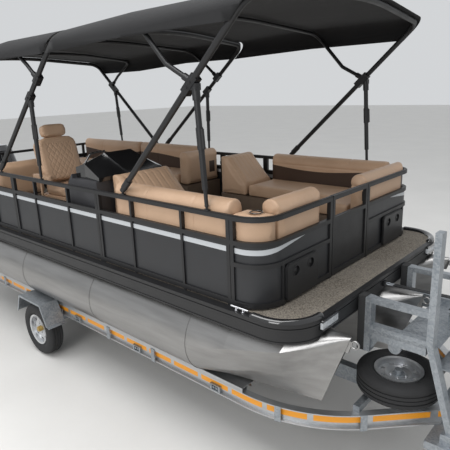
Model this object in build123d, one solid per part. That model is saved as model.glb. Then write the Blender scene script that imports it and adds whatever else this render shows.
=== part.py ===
"""Pontoon boat with three tubes, resting on its single-axle road trailer.

Millimetres. +X towards the bow, +Y to port, +Z up, floor at z = 0.
Lengths along the boat are measured from the front edge of the deck and are
negative towards the stern. Heights on the boat are measured from the deck top.
"""
import os
from math import asin, atan, cos, degrees, hypot, pi, radians, sin, sqrt, tan

from build123d import *

# Driving dimensions of the boat
deck_length = 6400
beam = 2590
deck_top_z = 1420
deck_thickness = 30
deck_front_radius = 300
deck_rear_radius = 160
skirt_depth = 137
skirt_thickness = 12
tube_radius = 325
tube_spacing = beam / 2 - 350
tube_top_drop = 130
weld_spacing = 1310
first_weld_s = -1060
tube_stern_s = -deck_length + 70
centre_nose_reach = 110
seam_gap = 0.3

# Driving dimensions of the fence
fence_inset = 65
fence_front_s = -308
fence_rear_s = -deck_length + 500
fence_height = 655
fence_tube = 32
fence_front_radius = 220
fence_rear_radius = 140
fence_foot = 12
mid_rail_z = 450
low_rail_z = 298
panel_thickness = 6
bow_gate_y = -60
bow_gate_width = 590
side_gate_s = -2580
side_gate_width = 500
stern_gate_y = 0
stern_gate_width = 600
gate_gap = 8
hinge_offset = 14
hinge_radius = 9
hinge_pin_radius = 4

# Driving dimensions of the seats
seat_base_height = 300
seat_cushion_thickness = 130
roll_thickness = 170
roll_top_z = 750
seat_gap = 2

# Driving dimensions of the trailer
wheel_radius = 302
tyre_width = 180
rim_radius = 177
rim_seat_radius = 166
axle_s = -3535
wheel_face_y = 1280
rail_outer_y = 1060
rail_height = 120
rail_flange = 60
rail_web = 8
bunk_height = 42
bunk_width = 230
rail_rear_s = -6050
rail_bend_s = -640
rail_bend_radius = 1190
rail_bend_angle = 45.5
rail_front_s = 590
coupling_reach = 1650
jockey_s = 1150
jockey_radius = 110
jockey_width = 60

# Driving dimensions of the outboard motor
transom_s = -deck_length - 30
transom_thickness = 45
transom_top_z = -50
tilt_setback = 60
steer_setback = 160
cowl_front_lead = 150
cowl_length = 600
cowl_width = 400
cowl_height = 600
cowl_foot_z = 90
propeller_radius = 175
shaft_z = -830

# Worked out from the driving dimensions
steer_s = transom_s - steer_setback
cowl_front_s = steer_s + cowl_front_lead
motor_rear_s = cowl_front_s - cowl_length
bow_x = -(motor_rear_s + coupling_reach) / 2
half_beam = beam / 2
tube_z = deck_top_z - tube_top_drop - tube_radius
bunk_top_z = tube_z - tube_radius
rail_top_z = bunk_top_z - bunk_height
rail_foot_z = rail_top_z - rail_height
fence_y = half_beam - fence_inset
seat_top_z = seat_base_height + seat_cushion_thickness


def along(s):
    """Row x of a place measured from the front edge of the deck."""
    return bow_x + s


def up(z):
    """Row z of a height measured from the deck top."""
    return deck_top_z + z


def point(s, y, z):
    return Vector(along(s), y, up(z))


def block(s0, s1, y0, y1, z0, z1):
    """Box between two corners, in boat measures."""
    low = Vector(along(min(s0, s1)), min(y0, y1), up(min(z0, z1)))
    size = Vector(abs(s1 - s0), abs(y1 - y0), abs(z1 - z0))
    return Pos(*(low + size / 2)) * Box(size.X, size.Y, size.Z)


def floor_block(s0, s1, y0, y1, z0, z1):
    """Box with heights measured from the floor."""
    return block(s0, s1, y0, y1, z0 - deck_top_z, z1 - deck_top_z)


def rounded_block(s0, s1, y0, y1, z0, z1, radius):
    """Box with rounded upright corners, in boat measures."""
    plan = RectangleRounded(abs(s1 - s0), abs(y1 - y0), radius)
    middle = point((s0 + s1) / 2, (y0 + y1) / 2, min(z0, z1))
    return Pos(*middle) * extrude(plan, amount=abs(z1 - z0))


def rod(start, end, radius):
    """Round bar between two points."""
    start = Vector(*start)
    end = Vector(*end)
    run = end - start
    return Solid.make_cylinder(radius, run.length, Plane(origin=start, z_dir=run))


def bent_tube(points, radii, radius):
    """Round tube along straight runs joined by arcs."""
    pieces = []
    for edge in FilletPolyline(*points, radius=radii).edges():
        section = Plane(origin=edge @ 0, z_dir=edge % 0) * Circle(radius)
        if edge.geom_type == GeomType.LINE:
            pieces.append(rod(edge @ 0, edge @ 1, radius))
        else:
            turn_axis = (edge % 0).cross(edge % 1)
            bend = Axis(edge.arc_center, turn_axis)
            pieces.append(revolve(section, axis=bend, revolution_arc=degrees(edge.length / edge.radius)))
    return joined(pieces)


def side_profile(points, y0, y1):
    """Outline drawn in boat length and height, given a width."""
    flat = [(along(s), up(z)) for s, z in points]
    face = Plane.XZ * make_face(Polyline(*flat, close=True))
    low, high = min(y0, y1), max(y0, y1)
    return Pos(0, high, 0) * extrude(face, amount=high - low, dir=(0, -1, 0))


def mirrored(shape):
    return mirror(shape, about=Plane.XZ)


def joined(shapes):
    whole = shapes[0]
    for shape in shapes[1:]:
        whole = whole + shape
    return whole


def save(name, shapes):
    if not isinstance(shapes, (list, tuple)):
        shapes = [shapes]
    solids = [solid for shape in shapes for solid in shape.solids()]
    export_step(Compound(children=solids), f"parts/{name}.step")


# Pontoons: a welded tube whose nose is an upper cone over two creased side plates
# Columns: top s, top z, chine half width, chine z, crease half width, crease z, keel s, keel z, roundness
nose_sections = [
    (first_weld_s, -130, 324, -478, 222, -692, first_weld_s, -780, 1.0),
    (-640, -128, 308, -352, 214, -585, -720, -772, 0.12),
    (-180, -118, 246, -252, 132, -470, -340, -718, 0.04),
    (182, -108, 15, -136, 11, -360, -28, -670, 0.0),
]
bead_height = 3
bead_width = 9
eye_radius = 26
eye_wire = 7


def bowed_edge(start, end, centre, roundness):
    """Straight edge, bowed towards the circle round a centre by its roundness."""
    middle = (start + end) / 2
    radial = middle - centre
    bow = (tube_radius - radial.length) * roundness
    if bow < 0.5:
        return Edge.make_line(start, end)
    return Edge.make_three_point_arc(start, middle + radial.normalized() * bow, end)


def nose_face(row, y, reach, grow):
    """Leaning section of a nose, lifted and widened where it cuts room for itself."""
    top_s, top_z, chine_half, chine_z, crease_half, crease_z, keel_s, keel_z, roundness = row
    stretch = reach * (top_s - first_weld_s) / (nose_sections[-1][0] - first_weld_s)

    def place(half, z):
        share = (z - top_z) / (keel_z - top_z)
        side = grow if half > 0 else -grow if half < 0 else 0
        return point(top_s + stretch + share * (keel_s - top_s), y + half + side, z + grow)

    top = place(0, top_z)
    keel = place(0, keel_z)
    centre = (top + keel) / 2
    edges = [Edge.make_three_point_arc(place(-chine_half, chine_z), top, place(chine_half, chine_z))]
    edges.append(bowed_edge(place(chine_half, chine_z), place(crease_half, crease_z), centre, roundness))
    edges.append(bowed_edge(place(crease_half, crease_z), keel, centre, roundness))
    edges.append(bowed_edge(keel, place(-crease_half, crease_z), centre, roundness))
    edges.append(bowed_edge(place(-crease_half, crease_z), place(-chine_half, chine_z), centre, roundness))
    return Face(Wire(edges))


def pontoon(y, reach):
    stern = Vector(along(tube_stern_s), y, tube_z)
    weld = Vector(along(first_weld_s), y, tube_z)
    shapes = [rod(stern, weld, tube_radius)]
    faces = [nose_face(row, y, reach, 0) for row in nose_sections]
    shapes.append(loft(faces, ruled=True))
    s = first_weld_s
    while s > tube_stern_s + bead_width:
        middle = Vector(along(s), y, tube_z)
        half = Vector(bead_width / 2, 0, 0)
        shapes.append(rod(middle - half, middle + half, tube_radius + bead_height))
        s -= weld_spacing
    tip_s = nose_sections[-1][0] + reach
    tip_z = nose_sections[-1][3]
    plate = [(tip_s - 60, tip_z + 4), (tip_s + 8, tip_z - 2), (tip_s - 20, tip_z - 90), (tip_s - 60, tip_z - 90)]
    shapes.append(side_profile(plate, y - 6, y + 6))
    ring = Plane(origin=point(tip_s + eye_radius - 2, y, tip_z - 20), z_dir=(0, 1, 0))
    shapes.append(Solid.make_torus(eye_radius, eye_wire, ring))
    return joined(shapes)


# Deck, the channels under it, its edge rail and the skirt round it
channel_count = 15
channel_first_s = -330
channel_width = 60
channel_height = 75
channel_wall = 6
riser_width = 110
nose_clearance = 5
notch_width = 560
notch_depth = 250
edge_front_width = 42
edge_side_width = 70
edge_thickness = 8
edge_inner_radius = 236
# Bands of the skirt. Columns: bottom z, top z, inset
skirt_bands = [(-28, 0, 0), (-35, -28, 7), (-46, -35, 0), (-126, -46, 5), (-skirt_depth, -126, 0)]


def rounded_plan(s_front, s_rear, half_width, front_radius, rear_radius):
    """Plan outline with rounded corners, as a face at z = 0."""
    # Columns: corner s, corner y, radius, step along s away from the corner, step along y
    corners = [
        (s_front, half_width, front_radius, -1, -1),
        (s_rear, half_width, rear_radius, 1, -1),
        (s_rear, -half_width, rear_radius, 1, 1),
        (s_front, -half_width, front_radius, -1, 1),
    ]
    near = 1 - sqrt(0.5)
    edges = []
    ends = []
    for s, y, radius, step_s, step_y in corners:
        on_side = Vector(along(s + step_s * radius), y, 0)
        on_end = Vector(along(s), y + step_y * radius, 0)
        middle = Vector(along(s + step_s * radius * near), y + step_y * radius * near, 0)
        edges.append(Edge.make_three_point_arc(on_side, middle, on_end))
        ends.append((on_side, on_end))
    edges.append(Edge.make_line(ends[0][0], ends[1][0]))
    edges.append(Edge.make_line(ends[1][1], ends[2][1]))
    edges.append(Edge.make_line(ends[2][0], ends[3][0]))
    edges.append(Edge.make_line(ends[3][1], ends[0][1]))
    face = Face(Wire.combine(edges)[0])
    return face if face.normal_at().Z > 0 else -face


def plan_solid(face, z0, z1):
    return Pos(0, 0, up(z0)) * extrude(face, amount=z1 - z0, dir=(0, 0, 1))


def plan_band(s_front, s_rear, half_width, radii, width, z0, z1):
    outer = rounded_plan(s_front, s_rear, half_width, radii[0], radii[1])
    inner = rounded_plan(
        s_front - width, s_rear + width, half_width - width, radii[0] - width, radii[1] - width
    )
    return plan_solid(outer, z0, z1) - plan_solid(inner, z0 - 1, z1 + 1)


def motor_notch(z0, z1, grow):
    half = notch_width / 2 + grow
    return block(-deck_length - 50, -deck_length + notch_depth + grow, -half, half, z0, z1)


def deck_plan(inset):
    return rounded_plan(
        -inset, -deck_length + inset, half_beam - inset, deck_front_radius - inset, deck_rear_radius - inset
    )


def carpet_plan():
    """Plan inside the edge rail."""
    return rounded_plan(
        -edge_front_width,
        -deck_length + edge_side_width,
        half_beam - edge_side_width,
        edge_inner_radius,
        deck_rear_radius - edge_side_width,
    )


def deck():
    board = plan_solid(deck_plan(skirt_thickness), -deck_thickness, -edge_thickness)
    raised = plan_solid(carpet_plan(), -edge_thickness, 0)
    return board + raised - motor_notch(-deck_thickness - 1, 1, 0)


def deck_skirt():
    """Edge rail on top, then the bands of the skirt below it."""
    rail = plan_solid(deck_plan(0), -edge_thickness, 0) - plan_solid(carpet_plan(), -edge_thickness - 1, 1)
    bands = []
    for z0, z1, inset in skirt_bands:
        radii = (deck_front_radius - inset, deck_rear_radius - inset)
        bands.append(
            plan_band(
                -inset, -deck_length + inset, half_beam - inset, radii, skirt_thickness - inset, z0, z1
            )
        )
    eye = rounded_block(-skirt_thickness, 14, winch_y - 20, winch_y + 20, -90, -48, 6)
    skirt = joined([rail] + bands + [eye]) - motor_notch(-skirt_depth - 1, 1, 0)
    for y, reach in ((-tube_spacing, 0), (0, centre_nose_reach), (tube_spacing, 0)):
        skirt = skirt - loft([nose_face(row, y, reach, nose_clearance) for row in nose_sections[2:]], ruled=True)
    return skirt


def channel(s):
    half = half_beam - 2 * skirt_thickness - 8
    z1 = -deck_thickness
    z0 = z1 - channel_height
    outer = block(s - channel_width / 2, s + channel_width / 2, -half, half, z0, z1)
    inner = block(
        s - channel_width / 2 + channel_wall,
        s + channel_width,
        -half - 1,
        half + 1,
        z0 + channel_wall,
        z1 - channel_wall,
    )
    return outer - inner


def deck_frame():
    """Cross channels under the deck, and a riser along the top of each tube."""
    pitch = (deck_length + 2 * channel_first_s - notch_depth) / (channel_count - 1)
    channels = [channel(channel_first_s - pitch * number) for number in range(channel_count)]
    z1 = -deck_thickness - channel_height - seam_gap
    z0 = -tube_top_drop + bead_height + seam_gap
    last_s = channel_first_s - pitch * (channel_count - 1)
    risers = [
        block(first_weld_s, last_s - channel_width, y - riser_width / 2, y + riser_width / 2, z0, z1)
        for y in (-tube_spacing, 0, tube_spacing)
    ]
    return channels + risers


# Fence: rails in plan bands, posts, sheet panels, access panels and gates
# Columns: bottom z, top z, inset
rail_heights = [
    (fence_foot, 50, 0),
    (mid_rail_z, mid_rail_z + fence_tube, 0),
    (fence_height - 36, fence_height - 5, 0),
    (fence_height - 5, fence_height, 5),
]
thin_post = 22
section_post = 30
section_gap = 4
corner_post_s = -592
# Places of the thin posts, then of the double posts where fence sections meet
thin_posts = [-1065, -1655, -3230, -4180, fence_rear_s + 1110]
section_posts = [corner_post_s, -2120, -3690, fence_rear_s + 650]
rear_post_s = fence_rear_s + 60
# Posts beside the side gate, and the one that stands in its place on the other side
side_gate_posts = [
    side_gate_s + side_gate_width / 2 + section_post / 2,
    side_gate_s - side_gate_width / 2 - section_post / 2,
]
starboard_post_s = -2610
gate_post = 34
upright_y = fence_y - fence_front_radius - 10
stern_upright_y = fence_y - 170


def fence_band(z0, z1, width, inset):
    return plan_band(
        fence_front_s - inset,
        fence_rear_s + inset,
        fence_y - inset,
        (fence_front_radius - inset, fence_rear_radius - inset),
        width,
        z0,
        z1,
    )


def gate_cuts():
    z0 = -5
    z1 = fence_height + 5
    half_bow = bow_gate_width / 2
    half_side = side_gate_width / 2
    half_stern = stern_gate_width / 2
    return [
        block(fence_front_s - 60, fence_front_s + 20, bow_gate_y - half_bow, bow_gate_y + half_bow, z0, z1),
        block(side_gate_s - half_side, side_gate_s + half_side, fence_y - 60, fence_y + 20, z0, z1),
        block(fence_rear_s - 20, fence_rear_s + 60, -half_stern, half_stern, z0, z1),
    ]


def side_post(s, width, side):
    inner = side * (fence_y - fence_tube)
    return block(s - width / 2, s + width / 2, inner, side * fence_y, 0, fence_height - 5)


def end_post(s, y, width, z0, z1):
    toward = -fence_tube if s == fence_front_s else fence_tube
    return block(s, s + toward, y - width / 2, y + width / 2, z0, z1)


def post_blocks():
    posts = []
    offset = (section_post + section_gap) / 2
    for side in (-1, 1):
        for s in thin_posts:
            posts.append(side_post(s, thin_post, side))
        for s in section_posts:
            posts.append(side_post(s - offset, section_post, side))
            posts.append(side_post(s + offset, section_post, side))
        posts.append(side_post(rear_post_s, section_post, side))
        posts.append(end_post(fence_front_s, side * upright_y, thin_post, 0, low_rail_z + 5))
        posts.append(end_post(fence_rear_s, side * stern_upright_y, gate_post, 0, fence_height - 5))
    posts.append(side_post(starboard_post_s, thin_post, -1))
    for s in side_gate_posts:
        posts.append(side_post(s, section_post, 1))
    half = (bow_gate_width + gate_post) / 2
    for y in (bow_gate_y - half, bow_gate_y + half):
        posts.append(end_post(fence_front_s, y, gate_post, 0, fence_height - 5))
    half = (stern_gate_width + gate_post) / 2
    for y in (stern_gate_y - half, stern_gate_y + half):
        posts.append(end_post(fence_rear_s, y, gate_post, 0, fence_height - 5))
    return posts


def fence_regions():
    """Boxes that split the fence where its gates are."""
    wide = half_beam + 100
    return {
        "starboard": block(100, -deck_length, -wide, bow_gate_y, -50, 900),
        "port_forward": block(100, side_gate_s, bow_gate_y, wide, -50, 900),
        "port_aft": block(side_gate_s, -deck_length, bow_gate_y, wide, -50, 900),
    }


# Gates: place of the hinge line, and the unit steps towards the leaf and into the boat
# Columns: hinge s, hinge y, leaf step, inward step, opening width
gates = {
    "bow_gate": (
        fence_front_s - fence_tube - hinge_offset,
        bow_gate_y + bow_gate_width / 2,
        (0, -1),
        (-1, 0),
        bow_gate_width,
    ),
    "side_gate": (
        side_gate_s - side_gate_width / 2,
        fence_y - fence_tube - hinge_offset,
        (1, 0),
        (0, -1),
        side_gate_width,
    ),
    "stern_gate": (
        fence_rear_s + fence_tube + hinge_offset,
        stern_gate_width / 2,
        (0, -1),
        (1, 0),
        stern_gate_width,
    ),
}
hinge_heights = [130, 540]
hinge_length = 40
hinge_arm = 26
leaf_frame = 30


def gate_box(gate, along0, along1, out0, out1, z0, z1):
    """Box measured from the hinge line: along the leaf, then outwards."""
    hinge_s, hinge_y, leaf, inward, width = gate
    s0 = hinge_s + leaf[0] * along0 - inward[0] * out0
    s1 = hinge_s + leaf[0] * along1 - inward[0] * out1
    y0 = hinge_y + leaf[1] * along0 - inward[1] * out0
    y1 = hinge_y + leaf[1] * along1 - inward[1] * out1
    return block(s0, s1, y0, y1, z0, z1)


def gate_hinge(gate, z, toward):
    """Round knuckle on the hinge line with its arm to the leaf or the post."""
    base = point(gate[0], gate[1], z)
    knuckle = rod(base, base + Vector(0, 0, hinge_length), hinge_radius)
    return knuckle + gate_box(gate, 0, toward * hinge_arm, 2, hinge_offset, z, z + hinge_length)


def gate_leaf(gate):
    width = gate[4]
    near = gate_gap
    far = width - gate_gap
    inner = hinge_offset
    outer = hinge_offset + fence_tube
    top = fence_height
    frame = gate_box(gate, near, far, inner, outer, fence_foot, top)
    left = near + leaf_frame
    right = far - leaf_frame
    window = gate_box(gate, left, right, inner - 1, outer + 1, mid_rail_z + fence_tube, top - 36)
    field = gate_box(gate, left, right, inner - 1, outer + 1, 50, mid_rail_z)
    middle = (inner + outer) / 2
    half = panel_thickness / 2
    sheet = gate_box(gate, left - 1, right + 1, middle - half, middle + half, 49, mid_rail_z + 1)
    leaf = frame - window - field + sheet
    for z in hinge_heights:
        leaf = leaf + gate_hinge(gate, z, 1)
        start = point(gate[0], gate[1], z - 1)
        leaf = leaf - rod(start, start + Vector(0, 0, 31), hinge_pin_radius + 0.06)
    return leaf


def gate_lugs(gate):
    """Post side of the hinges: a lug under each knuckle, with its pin."""
    lugs = []
    for z in hinge_heights:
        lug = gate_hinge(gate, z - hinge_length - seam_gap, -1)
        pin = rod(point(gate[0], gate[1], z - 10), point(gate[0], gate[1], z + 28), hinge_pin_radius)
        lugs.append(lug + pin)
    return lugs


def fence():
    rails = joined([fence_band(z0, z1, fence_tube - 2 * inset, inset) for z0, z1, inset in rail_heights])
    bow_region = block(50, corner_post_s, -half_beam, half_beam, -5, fence_height)
    fourth_rail = fence_band(low_rail_z, low_rail_z + fence_tube, fence_tube, 0) & bow_region
    rails = rails + fourth_rail
    cuts = gate_cuts()
    for cut in cuts:
        rails = rails - cut
    posts = post_blocks()
    inset = (fence_tube - panel_thickness) / 2
    panels = fence_band(50, mid_rail_z, panel_thickness, inset)
    for cut in cuts + posts + [fourth_rail]:
        panels = panels - cut
    lugs = {
        "port_forward": gate_lugs(gates["bow_gate"]),
        "port_aft": gate_lugs(gates["side_gate"]) + gate_lugs(gates["stern_gate"]),
        "starboard": [],
    }
    frames = {}
    sheets = {}
    for name, region in fence_regions().items():
        frame = rails & region
        for post in posts:
            if (post & region).volume > 1:
                frame = frame + post
        for lug in lugs[name]:
            frame = frame + lug
        frames[name] = frame
        sheets[name] = panels & region
    return frames, sheets


# Access panels on the front of the fence, each with two round loudspeakers
# Columns: starboard edge y, port edge y, top z, speaker places as y and z
access_plates = [
    (-986, -573, 296, [(-871, 222), (-680, 228)]),
    (548, 961, 296, [(655, 226), (846, 226)]),
]
plate_thickness = 11
plate_foot_z = 18
plate_radius = 42
speaker_radius = 38


def front_disc(y, z, radius, s0, s1):
    return rod(point(s0, y, z), point(s1, y, z), radius)


def access_plate(y0, y1, top, speakers):
    """Rounded plate that stands proud, its speakers sunk behind a ring and a cone."""
    s0 = fence_front_s
    s1 = fence_front_s + plate_thickness
    outline = RectangleRounded(y1 - y0, top - plate_foot_z, plate_radius)
    plane = Plane(
        origin=point(s0, (y0 + y1) / 2, (top + plate_foot_z) / 2), x_dir=(0, 1, 0), z_dir=(1, 0, 0)
    )
    plate = extrude(plane * outline, amount=plate_thickness)
    lip = plane * Pos(0, 0, plate_thickness) * RectangleRounded(
        y1 - y0 - 16, top - plate_foot_z - 16, plate_radius - 8
    )
    plate = plate + extrude(lip, amount=4)
    for y, z in speakers:
        plate = plate - front_disc(y, z, speaker_radius, s1 - 7, s1 + 10)
        cone = Solid.make_cone(
            speaker_radius * 0.55, 8, 7, Plane(origin=point(s1 - 7, y, z), z_dir=(1, 0, 0))
        )
        ring = front_disc(y, z, speaker_radius + 5, s1, s1 + 6) - front_disc(
            y, z, speaker_radius - 3, s1 - 8, s1 + 8
        )
        plate = plate + ring + cone
    return plate


# Corner caps, docking lights and cleats
bumper_width = 62
bumper_height = 27
bumper_tail = 70
light_width = 200
light_height = 78
light_y = 930
light_z = -50
cleat_y = half_beam - 32
cleat_length = 150


def corner_bumpers():
    """Domed cap over each front corner: an arc, a straight tail and rounded ends."""
    centre = Vector(along(-deck_front_radius), half_beam - deck_front_radius, up(0))
    middle = deck_front_radius - bumper_width / 2
    half = bumper_width / 2
    dome_radius = (half ** 2 + bumper_height ** 2) / (2 * bumper_height)
    arch = Edge.make_three_point_arc((middle - half, 0, 0), (middle, 0, bumper_height), (middle + half, 0, 0))
    base = Edge.make_line((middle + half, 0, 0), (middle - half, 0, 0))
    section = Face(Wire([arch, base]))
    bend = Pos(*centre) * revolve(section, axis=Axis.Z, revolution_arc=90)
    side_section = Pos(*centre) * Rot(0, 0, 90) * section
    tail = extrude(side_section, amount=bumper_tail, dir=(-1, 0, 0))
    ends = []
    for x, y in ((middle, 0), (-bumper_tail, middle)):
        ball = Pos(0, 0, bumper_height - dome_radius) * Sphere(dome_radius)
        cap = ball & (Pos(0, 0, bumper_height) * Box(4 * half, 4 * half, 2 * bumper_height))
        ends.append(Pos(centre.X + x, centre.Y + y, centre.Z) * cap)
    whole = joined([bend, tail] + ends)
    return [whole, mirrored(whole)]


def docking_light(y):
    """Lamp housing on the front of the skirt, with a sunk lens and two lamp cups."""
    plane = Plane(origin=point(seam_gap, y, light_z), x_dir=(0, 1, 0), z_dir=(1, 0, 0))
    body = extrude(plane * RectangleRounded(light_width, light_height, 16), amount=18)
    lens = extrude(plane * Pos(0, 0, 12) * RectangleRounded(light_width - 36, light_height - 34, 10), amount=10)
    body = body - lens
    for step in (-1, 1):
        place = point(12, y + step * light_width / 5, light_z)
        body = body + Solid.make_cone(20, 14, 5, Plane(origin=place, z_dir=(1, 0, 0)))
    return body


def cleat(s, y):
    """Low cleat: a slim bar carried on two round feet."""
    bar = rod(point(s - cleat_length / 2, y, 24), point(s + cleat_length / 2, y, 24), 7)
    shapes = [bar]
    for step in (-30, 30):
        shapes.append(rod(point(s + step, y, 0), point(s + step, y, 6), 15))
        shapes.append(rod(point(s + step, y, 5), point(s + step, y, 24), 8))
    return joined(shapes)


# Seats
bow_seat_front_s = fence_front_s - fence_tube - 6
bow_leg_depth = 520
seat_from_hinge = 40
seat_from_gate = 90
seat_outer_y = fence_y - fence_tube - 6
seat_corner_radius = fence_front_radius - fence_tube - 6
filler_depth = 270
filler_width = 192
filler_top_z = 660
cup_radius = 42
cup_depth = 75
port_seat_inner_y = 540
aft_seat_inner_y = seat_outer_y - 590
lounge_front_s = -4150
# Backrest of each bow seat. Columns: foot s, top s, rear s, inner y, top z, end s of the side roll, roll top z
bow_backs = {
    -1: (-1780, -2105, -2190, 365, 765, -1920, roll_top_z),
    1: (-1880, -2150, -2260, 520, 740, -1910, roll_top_z - 28),
}


def gate_side_y(side):
    """Distance from the centre line to the seat's end beside the bow gate."""
    clearance = seat_from_hinge if side > 0 else seat_from_gate
    return bow_gate_width / 2 + clearance + side * bow_gate_y


def inner_y(side):
    return port_seat_inner_y if side > 0 else gate_side_y(side)


def seat_bounds(z0, z1):
    """Room for the bow seats inside the fence, with its rounded corners."""
    plan = rounded_plan(bow_seat_front_s, fence_rear_s, seat_outer_y, seat_corner_radius, seat_corner_radius)
    return plan_solid(plan, z0, z1)


def roll(s0, s1, y0, y1, low, top, lengthwise):
    """Cushion roll: an upright section with a half-round top, pushed along a run."""
    if lengthwise:
        across, half = Vector(0, 1, 0), abs(y1 - y0) / 2
        place, run = point(s0, (y0 + y1) / 2, 0), Vector(s1 - s0, 0, 0)
    else:
        across, half = Vector(1, 0, 0), abs(s1 - s0) / 2
        place, run = point((s0 + s1) / 2, y0, 0), Vector(0, y1 - y0, 0)
    lift = Vector(0, 0, 1)
    foot0 = place - across * half + lift * low
    foot1 = place + across * half + lift * low
    shoulder0 = place - across * half + lift * (top - half)
    shoulder1 = place + across * half + lift * (top - half)
    edges = [
        Edge.make_line(foot0, shoulder0),
        Edge.make_three_point_arc(shoulder0, place + lift * top, shoulder1),
        Edge.make_line(shoulder1, foot1),
        Edge.make_line(foot1, foot0),
    ]
    return extrude(Face(Wire(edges)), amount=run.length, dir=run.normalized())


def two_legs(side, s_front, s_rear, outer, z0, z1):
    """Long leg along the fence and short leg along the bow."""
    long_leg = block(s_front, s_rear, side * inner_y(side), side * outer, z0, z1)
    short_leg = block(
        s_front, bow_seat_front_s - bow_leg_depth, side * gate_side_y(side), side * outer, z0, z1
    )
    return long_leg + short_leg


def bow_seat(side):
    """Base, cushions and rolls of one bow seat; side is 1 to port and -1 to starboard."""
    foot_s, top_s, rear_s, back_y, back_z, roll_end_s, roll_z = bow_backs[side]
    roll_y = seat_outer_y - roll_thickness
    roll_s = bow_seat_front_s - roll_thickness
    bounds = seat_bounds(0, 900)
    base = two_legs(side, bow_seat_front_s, rear_s, seat_outer_y, 0, seat_base_height) & bounds
    seat = two_legs(
        side, roll_s - seat_gap, foot_s + seat_gap, roll_y - seat_gap, seat_base_height, seat_top_z
    )
    back_outline = [
        (foot_s, seat_base_height),
        (foot_s, seat_top_z),
        (top_s, back_z - 18),
        (top_s - 30, back_z),
        (rear_s, back_z - 12),
        (rear_s, seat_base_height),
    ]
    back = side_profile(back_outline, side * back_y, side * (roll_y - seat_gap))
    cushions = [seat, back]
    if side < 0:
        filler_s = bow_seat_front_s - filler_depth
        filler_y = seat_outer_y - filler_width
        side_roll_s = filler_s - seat_gap
        front_roll_y = filler_y - seat_gap
        filler = block(
            bow_seat_front_s, filler_s, -filler_y, -seat_outer_y, seat_base_height, filler_top_z
        )
        cup = point(bow_seat_front_s - 124, -seat_outer_y + 107, filler_top_z - cup_depth)
        filler = filler - rod(cup, cup + Vector(0, 0, cup_depth + 5), cup_radius)
        cushions.append(filler & bounds)
    else:
        side_roll_s = roll_s - seat_gap
        front_roll_y = seat_outer_y
    cushions.append(
        roll(
            side_roll_s, roll_end_s, side * roll_y, side * seat_outer_y, seat_base_height, roll_z, True
        )
    )
    front_roll = roll(
        bow_seat_front_s, roll_s, side * gate_side_y(side), side * front_roll_y, seat_base_height, roll_z, False
    )
    cushions.append(front_roll & bounds)
    return base, cushions


# Columns: front s, rear s, side, roll across the front end
aft_benches = [
    (-2880, -4330, 1, True),
    (-4340, fence_rear_s + 110, 1, False),
    (lounge_front_s, fence_rear_s + 110, -1, True),
]


def bench(front_s, rear_s, side, arm):
    """Base and cushions of a bench along the fence."""
    inner = aft_seat_inner_y
    base = block(front_s, rear_s, side * inner, side * seat_outer_y, 0, seat_base_height)
    roll_y = seat_outer_y - roll_thickness
    seat_front = front_s - (roll_thickness + seat_gap if arm else 0)
    cushions = [
        block(
            seat_front, rear_s, side * inner, side * (roll_y - seat_gap), seat_base_height, seat_top_z
        ),
        roll(
            seat_front, rear_s, side * roll_y, side * seat_outer_y, seat_base_height, roll_top_z, True
        ),
    ]
    if arm:
        cushions.append(
            roll(
                front_s,
                front_s - roll_thickness,
                side * inner,
                side * seat_outer_y,
                seat_base_height,
                roll_top_z - 20,
                False,
            )
        )
    return base, cushions


# Helm: console, hood, wheel and chair
console_front_s = -2205
console_rear_s = -2760
console_inner_y = -400
console_outer_y = -seat_outer_y + 40
helm_y = -760
helm_wheel_radius = 175
helm_rim_radius = 14
helm_standoff = 110
dash_rise = 180
dash_reach = 150
dash_low_z = 560
dash_length = hypot(dash_rise, dash_reach)
hood_foot_z = 700
hood_rear_s = -2598
chair_s = -3500
chair_y = -650
chair_seat_z = 400
chair_lean = 14
# Faceted hood. Columns: s, then y and z of the corners from starboard over the top to port
hood_sections = [
    (-2200, [(-1130, 735), (-800, 738), (-410, 738), (-366, 735)]),
    (-2450, [(-1105, 843), (-880, 917), (-567, 920), (-470, 850)]),
    (hood_rear_s, [(-1105, 800), (-880, 866), (-567, 866), (-470, 806)]),
]


def helm_console():
    """Moulded console with a sloping dash, gauges and a throttle box."""
    dash_top_z = dash_low_z + dash_rise
    dash_top_s = console_rear_s + dash_reach
    outline = [
        (console_front_s - 20, 0),
        (console_front_s, 560),
        (console_front_s - 12, hood_foot_z - seam_gap),
        (hood_rear_s - 5, hood_foot_z - seam_gap),
        (hood_rear_s - 5, dash_top_z),
        (dash_top_s, dash_top_z),
        (console_rear_s, dash_low_z),
        (console_rear_s + 40, 420),
        (console_rear_s + 70, 0),
    ]
    body = side_profile(outline, console_outer_y, console_inner_y)
    toe = block(
        console_rear_s - 10, console_rear_s + 190, console_outer_y + 60, console_inner_y - 60, -5, 330
    )
    body = body - (toe & block(console_rear_s - 20, console_rear_s + 300, -2000, 2000, 40, 330))
    axis = Vector(-dash_rise / dash_length, 0, dash_reach / dash_length)
    dash = point(console_rear_s + dash_reach / 2, 0, dash_low_z + dash_rise / 2)
    for y in (helm_y + 215, helm_y + 275, helm_y - 215):
        place = dash + Vector(0, y, 0)
        body = body + rod(place - axis * 5, place + axis * 8, 26)
    return body


def windscreen():
    """Dark hood of flat facets that lean back over the dash."""
    faces = []
    for s, corners in hood_sections:
        (first_y, _), (last_y, _) = corners[0], corners[-1]
        if s < hood_sections[0][0]:
            last_y = hood_sections[0][1][-1][0]
        ring = [(first_y, hood_foot_z)] + corners + [(last_y, hood_foot_z)]
        places = [point(s, y, z) for y, z in ring]
        faces.append(Face(Wire.make_polygon(places, close=True)))
    grip = bent_tube(
        [point(-2455, -1098, 835), point(-2462, -1020, 925), point(-2462, -862, 932)], [60], 9
    )
    return loft(faces, ruled=True) + grip


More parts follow.
